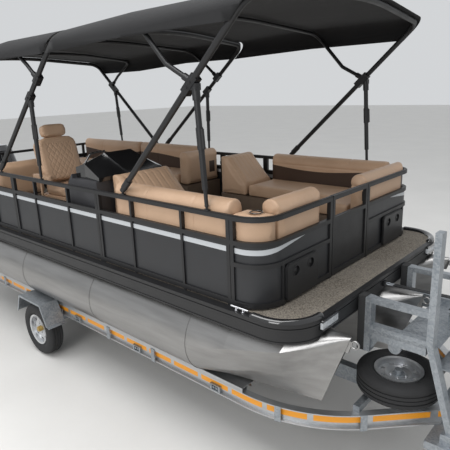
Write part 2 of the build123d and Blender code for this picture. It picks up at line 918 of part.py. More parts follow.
def steering_wheel():
    """Wheel on a short shaft that stands square on the sloping dash."""
    axis = Vector(-dash_rise / dash_length, 0, dash_reach / dash_length)
    dash = point(console_rear_s + dash_reach / 2, helm_y, dash_low_z + dash_rise / 2)
    hub = dash + axis * helm_standoff
    frame = Plane(origin=hub, x_dir=(0, 1, 0), z_dir=axis)
    rim = Solid.make_torus(helm_wheel_radius, helm_rim_radius, frame)
    boss = rod(hub - axis * 30, hub + axis * 14, 42)
    spokes = []
    for number in range(3):
        angle = radians(90 + 120 * number)
        out = frame.x_dir * cos(angle) + frame.y_dir * sin(angle)
        spokes.append(rod(hub, hub + out * (helm_wheel_radius - 2), 9))
    shaft = rod(hub - axis * 30, dash + axis * seam_gap, 14)
    return joined([rim, boss, shaft] + spokes)


def captain_chair():
    """Pedestal, frame with shell and armrests, and the three cushions."""
    axis_low = point(chair_s, chair_y, 0)
    foot = Solid.make_cone(165, 90, 26, Plane(origin=axis_low, z_dir=(0, 0, 1)))
    column = rod(axis_low, point(chair_s, chair_y, chair_seat_z - 70), 38)
    pedestal = foot + column
    plate_z = chair_seat_z - 60
    turn = rod(point(chair_s, chair_y, plate_z - 10 + seam_gap), point(chair_s, chair_y, plate_z), 60)
    tray = rounded_block(
        chair_s - 230, chair_s + 230, chair_y - 235, chair_y + 235, plate_z, chair_seat_z - 20, 50
    )
    lean = radians(chair_lean)
    facing = Vector(cos(lean), 0, sin(lean))
    rise = Vector(-sin(lean), 0, cos(lean))
    back_half = 250
    centre = point(chair_s - 235, chair_y, chair_seat_z + 95 + back_half * cos(lean))
    plane = Plane(origin=centre, x_dir=(0, 1, 0), z_dir=facing)
    shell = extrude(plane * Pos(0, 5, -30 - seam_gap) * RectangleRounded(466, 480, 95), amount=30)
    stalk = rounded_block(
        chair_s - 262, chair_s - 215, chair_y - 120, chair_y + 120, plate_z, chair_seat_z + 150, 10
    )
    frame = joined([turn, tray, shell, stalk])
    for side in (-1, 1):
        y = chair_y + side * 290
        post_top = point(chair_s - 120, y, 560)
        post = bent_tube(
            [
                point(chair_s - 120, chair_y + side * 200, plate_z + 20),
                point(chair_s - 120, y, plate_z + 20),
                post_top,
            ],
            [30],
            13,
        )
        pad = rounded_block(chair_s - 250, chair_s + 110, y - 28, y + 28, 555, 612, 27)
        frame = frame + post + pad
    seat = rounded_block(
        chair_s - 195,
        chair_s + 255,
        chair_y - 225,
        chair_y + 225,
        chair_seat_z - 20 + seam_gap,
        chair_seat_z + 90,
        70,
    )
    back = extrude(plane * RectangleRounded(480, 2 * back_half, 110), amount=115)
    head_plane = Plane(origin=centre + rise * (back_half + seam_gap + 72), x_dir=(0, 1, 0), z_dir=facing)
    head = extrude(head_plane * Pos(0, 0, 14) * RectangleRounded(300, 144, 52), amount=92)
    bracket = extrude(
        head_plane * Pos(0, -80, -30 - seam_gap) * RectangleRounded(150, 220, 30), amount=30
    )
    frame = frame + bracket
    return pedestal, frame, [seat, back, head]


# Bimini top
bow_tube_radius = 23
second_tube_radius = 18
strut_sleeve_radius = 21
strut_tube_radius = 14
rail_mount_y = fence_y - fence_tube / 2
# Columns: mount s, lean towards the bow in degrees, crown z
main_bows = {
    "front": (-1754, 43.2, 2075),
    "middle": (-3945, 40.5, 2040),
    "rear": (-4114, 139.0, 1985),
}
mount_z = fence_height + 34
mount_ball_radius = 15
shoulder_drop = 95
crown_spread = fence_y + 5
shoulder_radius = 130
crown_radius = 4000
knee_radius = 60
socket_start = 56
socket_end = 86
# Columns: main bow, bracket z, top s, crown z, reach and rise of the knee
second_bows = [
    ("front", 1510, -1530, 2075, 240, 125),
    ("middle", 1600, -3480, 2040, 165, 135),
    ("rear", 1560, -4480, 1985, 165, 135),
]
# Columns: main bow, bracket z, foot s, arm of the bracket towards the bow
struts = [
    ("front", 1480, -805, 58),
    ("middle", 1440, -3070, 0),
    ("rear", 1500, -4975, 0),
]
canopy_thickness = 8
canopy_gap = 0.8
valance_drop = 140
canopy_overhang = 20
canopy_clear = 22


def bow_place(name, z):
    """Place along the boat where a main bow passes the height z."""
    mount_s, lean, crown = main_bows[name]
    return mount_s + (z - mount_z) / tan(radians(lean))


def rail_mount(s, side):
    """Ball mount on the top rail: a foot, a stem and the ball."""
    foot = rounded_block(
        s - 24, s + 24, side * (rail_mount_y - 14), side * (rail_mount_y + 14), fence_height, fence_height + 8, 8
    )
    stem = rod(point(s, side * rail_mount_y, fence_height), point(s, side * rail_mount_y, mount_z), 9)
    ball = Pos(*point(s, side * rail_mount_y, mount_z)) * Sphere(mount_ball_radius)
    return foot + stem + ball


def cluster_place(name, z, arm, side):
    return point(bow_place(name, z) + arm, side * (rail_mount_y + 3), z)


def cluster(name, z, arm, side, toward, radius):
    """Bracket round a main bow with a sleeve towards a tube, and the bore for that tube."""
    centre = cluster_place(name, z, 0, side)
    root = cluster_place(name, z, arm, side)
    lean = main_bows[name][1]
    run = (toward - root).normalized()
    bracket = Pos(*centre) * Rot(0, -lean, 0) * Box(110, 56, 62)
    link = Pos(*((centre + root) / 2)) * Box(arm + 50, 50, 44)
    sleeve = rod(root, root + run * socket_end, radius + 7)
    bolt = rod(centre - Vector(0, side * 20, 0), centre + Vector(0, side * 36, 0), 12)
    bore = rod(root + run * socket_start, root + run * (socket_end + 10), radius + seam_gap)
    return joined([bracket, link, sleeve, bolt]), bore


def socket_seat(centre, toward):
    """Place in a bracket's bore where a tube's end sits."""
    return centre + (toward - centre).normalized() * (socket_start + seam_gap)


def main_bow(name):
    """Leaning bow with its ball mounts, end clamps and the brackets for what it carries."""
    mount_s, lean, crown = main_bows[name]
    shoulder = crown - shoulder_drop
    points = [
        point(mount_s, -rail_mount_y, mount_z),
        point(bow_place(name, shoulder), -crown_spread, shoulder),
        point(bow_place(name, crown), 0, crown),
        point(bow_place(name, shoulder), crown_spread, shoulder),
        point(mount_s, rail_mount_y, mount_z),
    ]
    shapes = [bent_tube(points, [shoulder_radius, crown_radius, shoulder_radius], bow_tube_radius)]
    bores = []
    for side in (-1, 1):
        ends = []
        for row in second_bows:
            ends.append((row, 0, knee_place(*row, side), second_tube_radius))
        for row in struts:
            ends.append((row, row[3], point(row[2], side * rail_mount_y, mount_z), strut_sleeve_radius))
        for row, arm, toward, radius in ends:
            if row[0] == name:
                bracket, bore = cluster(name, row[1], arm, side, toward, radius)
                shapes.append(bracket)
                bores.append(bore)
        shapes.append(rail_mount(mount_s, side))
        clamp_low = point(bow_place(name, mount_z + 28), side * rail_mount_y, mount_z + 28)
        clamp_high = point(bow_place(name, mount_z + 92), side * rail_mount_y, mount_z + 92)
        shapes.append(rod(clamp_low, clamp_high, bow_tube_radius + 6))
    bow = joined(shapes)
    for bore in bores:
        bow = bow - bore
    return bow


def knee_place(name, cluster_z, top_s, crown, reach, rise, side):
    """Knee of a second bow, away from its main bow."""
    step = 1 if main_bows[name][1] > 90 else -1
    return cluster_place(name, cluster_z, 0, side) + Vector(step * reach, 0, rise)


def second_bow(name, cluster_z, top_s, crown, reach, rise):
    """Bow that leaves its bracket at a shallow angle, then climbs past a knee."""
    shoulder = crown - shoulder_drop
    half = crown_spread - 10
    points = [point(top_s, 0, crown)]
    for side in (-1, 1):
        knee = knee_place(name, cluster_z, top_s, crown, reach, rise, side)
        share = (up(shoulder) - knee.Z) / (up(crown) - knee.Z)
        shoulder_x = knee.X + share * (along(top_s) - knee.X)
        wing = [
            socket_seat(cluster_place(name, cluster_z, 0, side), knee),
            knee,
            Vector(shoulder_x, side * half, up(shoulder)),
        ]
        points = wing + points if side < 0 else points + wing[::-1]
    radii = [knee_radius, shoulder_radius, crown_radius, shoulder_radius, knee_radius]
    return bent_tube(points, radii, second_tube_radius)


def strut(name, cluster_z, foot_s, arm, side):
    """Telescopic strut: sleeve above, thin tube below and a lock where they meet."""
    foot = point(foot_s, side * rail_mount_y, mount_z)
    top = socket_seat(cluster_place(name, cluster_z, arm, side), foot)
    run = top - foot
    tube = rod(foot, foot + run * 0.2, strut_tube_radius)
    sleeve = rod(foot + run * 0.15, top, strut_sleeve_radius)
    lock_low = foot + run * 0.52
    lock_high = foot + run * 0.72
    lock = rod(lock_low, lock_high, strut_sleeve_radius + 5)
    latch = rod(lock_low + Vector(24, 0, 8), lock_high + Vector(24, 0, -8), 13)
    return joined([tube, sleeve, lock, latch, rail_mount(foot_s, side)])


def bimini_frame():
    shapes = [main_bow(name) for name in main_bows]
    shapes += [second_bow(*row) for row in second_bows]
    shapes += [strut(*row, side) for row in struts for side in (-1, 1)]
    return shapes


def canopy_face(s, crown, lean, grow, foot_drop):
    """Closed outline under the canopy, in a plane that leans as its bow does."""
    radius = shoulder_radius + grow
    shoulder = crown - shoulder_drop
    wide = crown_spread + grow
    slope = cos(radians(lean)) / sin(radians(lean))
    foot = shoulder - valance_drop - foot_drop

    def place(y, z):
        return point(s + (z - crown) * slope, y, z)

    points = [
        place(-wide, foot),
        place(-wide, shoulder + grow),
        place(0, crown + grow),
        place(wide, shoulder + grow),
        place(wide, foot),
    ]
    top = FilletPolyline(*points, radius=[radius, crown_radius, radius])
    return Face(Wire(top.edges() + [Edge.make_line(points[-1], points[0])]))


def canopy(rows):
    """Thin cover over a row of crowns, each given by place, height and lean."""
    inner = bow_tube_radius + canopy_gap
    outer = inner + canopy_thickness
    shell = loft([canopy_face(s, crown, lean, outer, 0) for s, crown, lean in rows], ruled=True)
    (first_s, first_crown, first_lean), (last_s, last_crown, last_lean) = rows[0], rows[-1]
    inside = [(first_s + 5, first_crown, first_lean)] + rows[1:-1] + [(last_s - 5, last_crown, last_lean)]
    void = loft([canopy_face(s, crown, lean, inner, 12) for s, crown, lean in inside], ruled=True)
    return shell - void


def canopy_rows(front_name, front_offset, second_rows, rear_name, rear_offset):
    rows = []
    mount_s, lean, crown = main_bows[front_name]
    rows.append((bow_place(front_name, crown) + front_offset, crown, lean))
    for row in second_rows:
        rows.append((row[2], row[3], 90))
    mount_s, lean, crown = main_bows[rear_name]
    rows.append((bow_place(rear_name, crown) + rear_offset, crown, lean))
    return rows


# Outboard motor: bracket on the centre tube, swivel, body and propeller
bracket_half = 150
tilt_s = transom_s - tilt_setback
tilt_z = transom_top_z + 40
tilt_radius = 18
steer_radius = 26
leg_setback = 70
propeller_hub = 48
pod_half = 240
pod_low_z = -620
gearcase_radius = 56
# Cowl. Columns: z above its foot, front setback, length, width, corner radius
cowl_sections = [
    (0, 40, 500, 300, 110),
    (90, 0, 590, 384, 130),
    (330, 8, 592, 400, 140),
    (520, 60, 505, 340, 130),
    (600, 150, 330, 230, 100),
]
# Blade sections. Columns: share of the propeller's radius, chord, thickness
blade_sections = [(0.24, 92, 13), (0.52, 124, 9), (0.78, 116, 6), (0.96, 58, 4)]
blade_pitch = 420


def motor_bracket():
    """Pod behind the centre tube, transom plate and the two clamp ears."""
    plate_s = transom_s + transom_thickness
    plate = block(transom_s, plate_s, -pod_half, pod_half, pod_low_z, transom_top_z)
    web = block(tube_stern_s - seam_gap, plate_s - 1, -130, 130, pod_low_z, -110)
    ears = []
    for side in (-1, 1):
        ear = side_profile(
            [
                (transom_s + 1, -420),
                (transom_s + 1, transom_top_z - 20),
                (tilt_s + 30, tilt_z + 32),
                (tilt_s - 32, tilt_z + 32),
                (tilt_s - 32, tilt_z - 60),
                (transom_s - 30, -420),
            ],
            side * bracket_half - 12,
            side * bracket_half + 12,
        )
        ears.append(ear)
    pin = rod(point(tilt_s, -bracket_half, tilt_z), point(tilt_s, bracket_half, tilt_z), tilt_radius)
    return joined([plate, web] + ears + [pin])


def motor_swivel():
    bore = rod(
        point(tilt_s, -bracket_half, tilt_z), point(tilt_s, bracket_half, tilt_z), tilt_radius + 0.06
    )
    half = bracket_half - 17
    head = block(tilt_s + 36, tilt_s - 50, -half, half, tilt_z - 36, tilt_z + 36)
    tower = block(tilt_s - 20, steer_s, -40, 40, -470, tilt_z + 36)
    round_back = rod(point(steer_s, 0, -470), point(steer_s, 0, tilt_z + 36), 40)
    channel_bore = rod(point(steer_s, 0, -600), point(steer_s, 0, 200), steer_radius + 0.06)
    return head + tower + round_back - bore - channel_bore


def motor_cowl():
    faces = []
    for z, setback, length, width, radius in cowl_sections:
        middle = point(cowl_front_s - setback - length / 2, 0, cowl_foot_z + z)
        faces.append((Pos(*middle) * RectangleRounded(length, width, radius)).faces()[0])
    return loft(faces, ruled=True)


def lens_plan(s0, s1, half, z0, z1):
    """Upright body with a lens-shaped plan, from a leading to a trailing edge."""
    middle = (s0 + s1) / 2
    start, end = point(s0, 0, z0), point(s1, 0, z0)
    left = Edge.make_three_point_arc(start, point(middle, half, z0), end)
    right = Edge.make_three_point_arc(end, point(middle, -half, z0), start)
    face = Face(Wire([left, right]))
    return extrude(face, amount=z1 - z0, dir=(0, 0, 1))


def motor_body():
    """Steering pin with its yokes, leg, gearcase with skeg, plate and cowl."""
    pin = rod(point(steer_s, 0, -512), point(steer_s, 0, cowl_foot_z + 20), steer_radius)
    yoke_low = block(steer_s + 42, steer_s - 150, -60, 60, -540, -476)
    yoke_top = block(steer_s + 42, steer_s - 150, -60, 60, tilt_z + 42, cowl_foot_z + 5)
    upper = lens_plan(steer_s - leg_setback + 4, steer_s - 300, 66, -560, cowl_foot_z + 5)
    lower = side_profile(
        [
            (steer_s - 20, -540),
            (steer_s + 12, -700),
            (steer_s + 40, shaft_z),
            (steer_s - 185, shaft_z),
            (steer_s - 195, -655),
            (steer_s - 290, -641),
            (steer_s - 290, -540),
        ],
        -90,
        90,
    ) & lens_plan(steer_s + 60, steer_s - 330, 46, -1010, -500)
    skeg = side_profile(
        [
            (steer_s + 10, shaft_z),
            (steer_s - 60, -1005),
            (steer_s - 130, -1000),
            (steer_s - 150, shaft_z),
        ],
        -7,
        7,
    )
    nose = Solid.make_cone(
        gearcase_radius, 14, 90, Plane(origin=point(steer_s + 60, 0, shaft_z), z_dir=(1, 0, 0))
    )
    case = rod(point(steer_s + 60, 0, shaft_z), point(steer_s - 190, 0, shaft_z), gearcase_radius)
    plate = rounded_block(steer_s - 10, steer_s - 340, -115, 115, -642, -630, 90)
    return joined([pin, yoke_low, yoke_top, upper, lower, skeg, nose, case, plate, motor_cowl()])


def propeller():
    """Hub with three blades, each twisted more steeply towards its root."""
    start = point(steer_s - 190 - seam_gap, 0, shaft_z)
    end = point(steer_s - 300, 0, shaft_z)
    hub = rod(start, end, propeller_hub)
    middle = (start + end) / 2
    faces = []
    for share, chord, thickness in blade_sections:
        radius = share * propeller_radius
        angle = atan(blade_pitch / (2 * pi * radius))
        run = Vector(sin(angle), cos(angle), 0) * (chord / 2)
        off = Vector(cos(angle), -sin(angle), 0) * (thickness / 2)
        centre = Vector(0, 0, radius)
        front = Edge.make_three_point_arc(centre - run, centre + off, centre + run)
        back = Edge.make_three_point_arc(centre + run, centre - off, centre - run)
        faces.append(Face(Wire([front, back])))
    blade = loft(faces, ruled=True)
    blades = [Pos(*middle) * Rot(120 * number, 0, 0) * blade for number in range(3)]
    return joined([hub] + blades)


# Boarding ladder standing folded at the stern, starboard of the motor
ladder_y = -(half_beam - 365)
ladder_half = 170
ladder_length = 900
ladder_hinge_s = -deck_length - 22
ladder_hinge_z = 24
ladder_tube = 14


def boarding_ladder():
    """Two bent stiles, four flat treads and the hinge pin."""
    pin = rod(
        point(ladder_hinge_s, ladder_y - ladder_half - 40, ladder_hinge_z),
        point(ladder_hinge_s, ladder_y + ladder_half + 40, ladder_hinge_z),
        9,
    )
    top_z = ladder_hinge_z + ladder_length
    hoop = bent_tube(
        [
            point(ladder_hinge_s, ladder_y - ladder_half, ladder_hinge_z),
            point(ladder_hinge_s + 30, ladder_y - ladder_half, top_z),
            point(ladder_hinge_s + 30, ladder_y + ladder_half, top_z),
            point(ladder_hinge_s, ladder_y + ladder_half, ladder_hinge_z),
        ],
        [70, 70],
        ladder_tube,
    )
    shapes = [hoop, pin]
    for number in range(3):
        z = ladder_hinge_z + 190 + 240 * number
        s = ladder_hinge_s + 30 * (z - ladder_hinge_z) / ladder_length
        shapes.append(
            rounded_block(s - 34, s + 34, ladder_y - ladder_half, ladder_y + ladder_half, z - 10, z + 10, 12)
        )
    return joined(shapes)


def ladder_brackets():
    shapes = []
    for side in (-1, 1):
        y = ladder_y + side * (ladder_half + 30)
        ear = block(-deck_length, ladder_hinge_s - 20, y - 8, y + 8, -60, ladder_hinge_z + 20)
        hole = rod(
            point(ladder_hinge_s, y - 20, ladder_hinge_z), point(ladder_hinge_s, y + 20, ladder_hinge_z), 9.06
        )
        shapes.append(ear - hole)
    return shapes


# Trailer rails, cross members, bunks and straps
cross_width = 60
cross_wall = 8
cross_places = [-960, -1980, -3000, -4100, -5100, -5850]
drawbar_width = 80
drawbar_height = 140
drawbar_rear_s = cross_places[0] - cross_width / 2 - 20
foot_beam_s = 560
foot_beam_length = 190
foot_beam_height = 60
strap_width = 50
strap_thickness = 6
strap_places = [-1730, -2420, -4700]
# Places of the straps round the bend, as degrees from its start
strap_angles = [14.1, 44.2]


def rail_line(y_offset, start_s):
    """Plan line of a rail, as a distance from the rail's outer face."""
    y = -(rail_outer_y - y_offset)
    corner_s = rail_bend_s + rail_bend_radius * tan(radians(rail_bend_angle / 2))
    slope = tan(radians(rail_bend_angle))
    radius = rail_bend_radius - y_offset
    corner = (corner_s - y_offset * tan(radians(rail_bend_angle / 2)), y)
    end = (rail_front_s, y + (rail_front_s - corner[0]) * slope)
    return [(start_s, y), corner, end], radius


def rail_half(s, y_offset):
    """Half width between the rails in their converging part."""
    points, radius = rail_line(y_offset, rail_rear_s)
    corner, end = points[1], points[2]
    share = (s - corner[0]) / (end[0] - corner[0])
    if s < rail_bend_s + rail_bend_radius * sin(radians(rail_bend_angle)):
        rise = radius - sqrt(radius ** 2 - (s - rail_bend_s) ** 2)
        return rail_outer_y - y_offset - rise
    return -(corner[1] + share * (end[1] - corner[1]))


def rail_band(y0, y1, z0, z1):
    """Strip of a rail between two distances from its outer face."""
    outer, outer_radius = rail_line(y0, rail_rear_s)
    inner, inner_radius = rail_line(y1, rail_rear_s)
    outer_path = FilletPolyline(*[(along(s), y) for s, y in outer], radius=outer_radius)
    inner_path = FilletPolyline(*[(along(s), y) for s, y in inner], radius=inner_radius)
    ends = [
        Edge.make_line(outer_path @ 0, inner_path @ 0),
        Edge.make_line(outer_path @ 1, inner_path @ 1),
    ]
    face = Face(Wire(outer_path.edges() + inner_path.edges() + ends))
    if face.normal_at().Z < 0:
        face = -face
    return Pos(0, 0, z0) * extrude(face, amount=z1 - z0, dir=(0, 0, 1))


def trailer_rail():
    web_y = (rail_flange - rail_web) / 2
    flange = 9
    return joined(
        [
            rail_band(0, rail_flange, rail_top_z - flange, rail_top_z),
            rail_band(0, rail_flange, rail_foot_z, rail_foot_z + flange),
            rail_band(web_y, web_y + rail_web, rail_foot_z + flange, rail_top_z - flange),
        ]
    )


def rail_straps():
    """Flat straps that wrap the outer face of each rail from top to foot."""
    z0 = rail_foot_z - strap_thickness
    z1 = rail_top_z + strap_thickness
    plate = Pos(0, -strap_thickness / 2 - seam_gap, (z0 + z1) / 2) * Box(strap_width, strap_thickness, z1 - z0)
    shapes = []
    for s in strap_places:
        shapes.append(Pos(along(s), -rail_outer_y, 0) * plate)
    for angle in strap_angles:
        turn = radians(angle)
        s = rail_bend_s + rail_bend_radius * sin(turn)
        y = -rail_outer_y + rail_bend_radius * (1 - cos(turn))
        shapes.append(Pos(along(s), y, 0) * Rot(0, 0, angle) * plate)
    return shapes + [mirrored(shape) for shape in shapes]


def cross_member(s):
    """I-section between the rails, as high as they are."""
    half = rail_outer_y - rail_flange
    front, rear = s + cross_width / 2, s - cross_width / 2
    web = floor_block(s - cross_wall / 2, s + cross_wall / 2, -half, half, rail_foot_z, rail_top_z)
    foot = floor_block(rear, front, -half, half, rail_foot_z, rail_foot_z + cross_wall)
    top = floor_block(rear, front, -half, half, rail_top_z - cross_wall, rail_top_z)
    return joined([web, foot, top])


def end_bracket(s, side):
    """Clamp on the outer web of a rail where a cross member meets it, with its two bolts."""
    web_y = rail_outer_y - (rail_flange - rail_web) / 2
    low = rail_foot_z + 9
    clamp = floor_block(s - 55, s + 55, side * web_y, side * (rail_outer_y - 2), low, low + 56)
    recess = floor_block(s - 34, s + 34, side * (web_y + 6), side * (rail_outer_y + 1), low + 7, low + 49)
    clamp = clamp - recess
    for step in (-17, 17):
        clamp = clamp + rod(
            (along(s + step), side * (web_y + 5), low + 28), (along(s + step), side * (rail_outer_y - 4), low + 28), 10
        )
    return clamp


def bunk(side, tube_y):
    z1 = bunk_top_z - bead_height - seam_gap
    z0 = rail_top_z
    outer_y = rail_outer_y if tube_y else bunk_width / 2
    inner = outer_y - bunk_width
    front_s = rail_bend_s - 20
    outer = floor_block(rail_rear_s + 50, front_s, side * inner, side * outer_y, z0, z1)
    hollow = floor_block(
        rail_rear_s + 49, front_s + 1, side * (inner + 5), side * (outer_y - 5), z0 - 1, z1 - 5
    )
    shape = outer - hollow
    for share in (0.25, 0.5, 0.75):
        y = inner + bunk_width * share
        shape = shape + floor_block(rail_rear_s + 50, front_s, side * (y - 3), side * (y + 3), z0, z1 - 4)
    return shape


# Axle, hubs and mudguards
axle_beam_lead = 170
axle_beam_radius = 40
axle_seat = 8
hub_radius = 62
stub_radius = 20
mudguard_gap = 60
mudguard_width = 215
mudguard_sheet = 4
mudguard_lip = 22
mudguard_top_z = 2 * wheel_radius + mudguard_gap
# Outline from front to rear. Columns: distance ahead of the axle, height above the floor
mudguard_outline = [
    (336, wheel_radius + 118),
    (298, wheel_radius + 130),
    (188, mudguard_top_z),
    (-284, mudguard_top_z),
    (-372, wheel_radius + 150),
]


def trailer_axle():
    """Torsion beam, saddles with side plates, trailing arms and stub axles."""
    axle_z = wheel_radius
    beam_s = axle_s + axle_beam_lead
    beam_z = rail_foot_z - axle_seat - axle_beam_radius
    half = rail_outer_y + 10
    beam = rod((along(beam_s), -half, beam_z), (along(beam_s), half, beam_z), axle_beam_radius)
    shapes = [beam]
    for side in (-1, 1):
        saddle = floor_block(
            beam_s - 75, beam_s + 75, side * (rail_outer_y - rail_flange), side * rail_outer_y, beam_z + 10, rail_foot_z
        )
        plate = floor_block(
            beam_s - 70, beam_s + 70, side * (rail_outer_y + 1), side * half, beam_z - 25, rail_foot_z + 70
        )
        arm = side_profile(
            [
                (beam_s + 45, beam_z - deck_top_z + 20),
                (beam_s + 45, beam_z - deck_top_z - 30),
                (axle_s - 20, axle_z - deck_top_z - 42),
                (axle_s - 42, axle_z - deck_top_z - 20),
                (axle_s - 42, axle_z - deck_top_z + 30),
                (axle_s - 10, axle_z - deck_top_z + 42),
            ],
            side * (half - 27),
            side * half,
        )
        stub = rod(
            (along(axle_s), side * (half - 10), axle_z),
            (along(axle_s), side * (wheel_face_y - 70), axle_z),
            stub_radius,
        )
        shapes += [saddle, plate, arm, stub]
    return joined(shapes)


def sheet_outline(points, depth):
    """Closed outline of a bent sheet whose inner side is mitred at each bend."""
    inner = []
    for number, (s, z) in enumerate(points):
        normals = []
        for first in (number - 1, number):
            if 0 <= first < len(points) - 1:
                (s0, z0), (s1, z1) = points[first], points[first + 1]
                run = hypot(s1 - s0, z1 - z0)
                normals.append(Vector((z0 - z1) / run, (s1 - s0) / run))
        mitre = (normals[0] + normals[-1]) / (1 + normals[0].dot(normals[-1])) * depth
        inner.append((s + mitre.X, z + mitre.Y))
    return points + inner[::-1]


def mudguard(side):
    """Bent plate guard with a turned lip in front and a rim down its outer edge."""
    outer_y = wheel_face_y + 20
    inner = outer_y - mudguard_width
    points = [(axle_s + ahead, z - deck_top_z) for ahead, z in mudguard_outline]
    sheet = side_profile(sheet_outline(points, mudguard_sheet), side * inner, side * outer_y)
    rim_points = points[1:]
    rim_y = side * (outer_y - mudguard_sheet)
    edge = side_profile(sheet_outline(rim_points, mudguard_lip), rim_y, side * outer_y)
    shapes = [sheet, edge]
    web_y = rail_outer_y - (rail_flange - rail_web) / 2
    foot_z = rail_top_z - 80
    for s in (axle_s - 200, axle_s + 60):
        arm_y = (side * (web_y + seam_gap), side * (inner + 6))
        shapes.append(floor_block(s - 20, s + 20, *arm_y, foot_z, foot_z + 40))
        shapes.append(floor_block(s - 20, s + 20, side * inner, side * (inner + 6), foot_z, mudguard_top_z - 2))
    return joined(shapes)


def tyre(centre, axis):
    """Tyre with a rounded shoulder and four grooves, hollow round the rim seat."""
    half = tyre_width / 2
    # Columns: radius, offset from the middle
    section = [
        (rim_seat_radius, -half + 28),
        (rim_radius + 3, -half + 26),
        (rim_radius + 14, -half + 13),
        (rim_radius + 32, -half + 4),
        (rim_radius + 58, -half),
        (wheel_radius - 42, -half + 3),
        (wheel_radius - 22, -half + 10),
        (wheel_radius - 8, -half + 21),
        (wheel_radius, -half + 36),
        (wheel_radius, -38),
        (wheel_radius - 8, -36),
        (wheel_radius - 8, -28),
        (wheel_radius, -26),
        (wheel_radius, -4),
        (wheel_radius - 8, -3),
    ]
    full = section + [(r, -w) for r, w in reversed(section)]
    face = make_face(Plane.XZ * Polyline(*full, close=True))
    ring = revolve(face, axis=Axis.Z)
    return Plane(origin=centre, z_dir=axis) * ring


window_count = 8
nut_count = 5
nut_circle = 56
rim_bore_radius = 34


def rim(centre, axis):
    """Steel rim: a barrel with a dished disc and tapered windows."""
    half = tyre_width / 2
    face_w = half - 52
    seat = rim_seat_radius - seam_gap
    section = [
        (rim_radius, half - 14),
        (rim_radius, half - 24),
        (seat, half - 26),
        (seat, -half + 26),
        (rim_radius, -half + 24),
        (rim_radius, -half + 14),
        (rim_seat_radius - 10, -half + 20),
        (rim_seat_radius - 10, face_w - 20),
        (100, face_w - 2),
        (72, face_w - 16),
        (rim_bore_radius, face_w - 16),
        (rim_bore_radius, face_w - 10),
        (68, face_w - 10),
        (96, face_w + 4),
        (rim_seat_radius - 10, face_w - 8),
        (rim_seat_radius - 10, half - 20),
    ]
    face = make_face(Plane.XZ * Polyline(*section, close=True))
    disc = revolve(face, axis=Axis.Z)
    outline = make_face(Polyline((106, -13), (142, -22), (142, 22), (106, 13), close=True))
    window = extrude(outline, amount=60)
    for number in range(window_count):
        disc = disc - Rot(0, 0, 360 / window_count * number) * Pos(0, 0, face_w - 30) * window
    for number in range(nut_count):
        angle = radians(360 / nut_count * number)
        nut = Pos(nut_circle * cos(angle), nut_circle * sin(angle), face_w - 4) * Cylinder(9, 14)
        disc = disc + nut
    return Plane(origin=centre, z_dir=axis) * disc


def wheel(side):
    """Tyre, and the rim with its hub, cap and bore for the stub axle."""
    centre = Vector(along(axle_s), side * (wheel_face_y - tyre_width / 2), wheel_radius)
    axis = Vector(0, side, 0)
    face_w = tyre_width / 2 - 52
    hub_face = centre + axis * (face_w - 16)
    hub = rod(hub_face - axis * 50, hub_face, hub_radius)
    cap = rod(hub_face - axis * 1, hub_face + axis * 44, 32) + rod(
        hub_face + axis * 43, hub_face + axis * 52, 26
    )
    bore = rod(hub_face - axis * 60, hub_face + axis * 30, stub_radius + 0.06)
    return tyre(centre, axis), joined([rim(centre, axis), hub, cap]) - bore


spare_s = 275
spare_y = -355
spare_lift = 70
spare_z = rail_top_z + spare_lift
carrier_reach = 150


def spare_wheel():
    centre = Vector(along(spare_s), spare_y, spare_z + tyre_width / 2)
    axis = Vector(0, 0, 1)
    return tyre(centre, axis), rim(centre, axis)


def spare_carrier():
    """Two bars from rail to rail, a strip between them, and the clamp through the rim."""
    shapes = []
    for s in (spare_s - carrier_reach, spare_s + carrier_reach):
        half = rail_half(s + 25, rail_flange / 2)
        shapes.append(floor_block(s - 25, s + 25, -half, half, rail_top_z, rail_top_z + 50))
    shapes.append(
        floor_block(
            spare_s - carrier_reach,
            spare_s + carrier_reach,
            spare_y - 30,
            spare_y + 30,
            rail_top_z + 10,
            rail_top_z + 50,
        )
    )
    disc_z = spare_z + tyre_width / 2 + (tyre_width / 2 - 52) - 10 + seam_gap
    low = (along(spare_s), spare_y, rail_top_z + 30)
    shapes.append(rod(low, (along(spare_s), spare_y, disc_z + 5), 20))
    shapes.append(
        rod((along(spare_s), spare_y, disc_z), (along(spare_s), spare_y, disc_z + 9), nut_circle - 12)
    )
    shapes.append(rod((along(spare_s), spare_y, disc_z), (along(spare_s), spare_y, disc_z + 42), 28))
    pads = []
    for turn in (45, 135, 225, 315):
        s = spare_s + 210 * cos(radians(turn))
        y = spare_y + 210 * sin(radians(turn))
        pads.append(
            floor_block(
                s - 22, s + 22, y - 22, y + 22, rail_top_z + 50 - 1, spare_z - seam_gap
            )
        )
    return joined(shapes), pads


# Bow stand: two side frames, platform, steps, cross tube and winch
stand_half = 425
stand_y = -75
stand_tube = 45
stand_depth = 80
post_s = 55
upright_s = 500
plate_top_z = -230
plate_low_z = -340
handrail_z = 540
stand_foot_s = 680
stand_foot_z = -870
pad_length = 430
step_places = [-430, -640]
cross_tube_radius = 46
cross_tube_s = post_s + centre_nose_reach + 105
winch_y = -60
winch_s = 640
winch_z = -92
drum_radius = 42


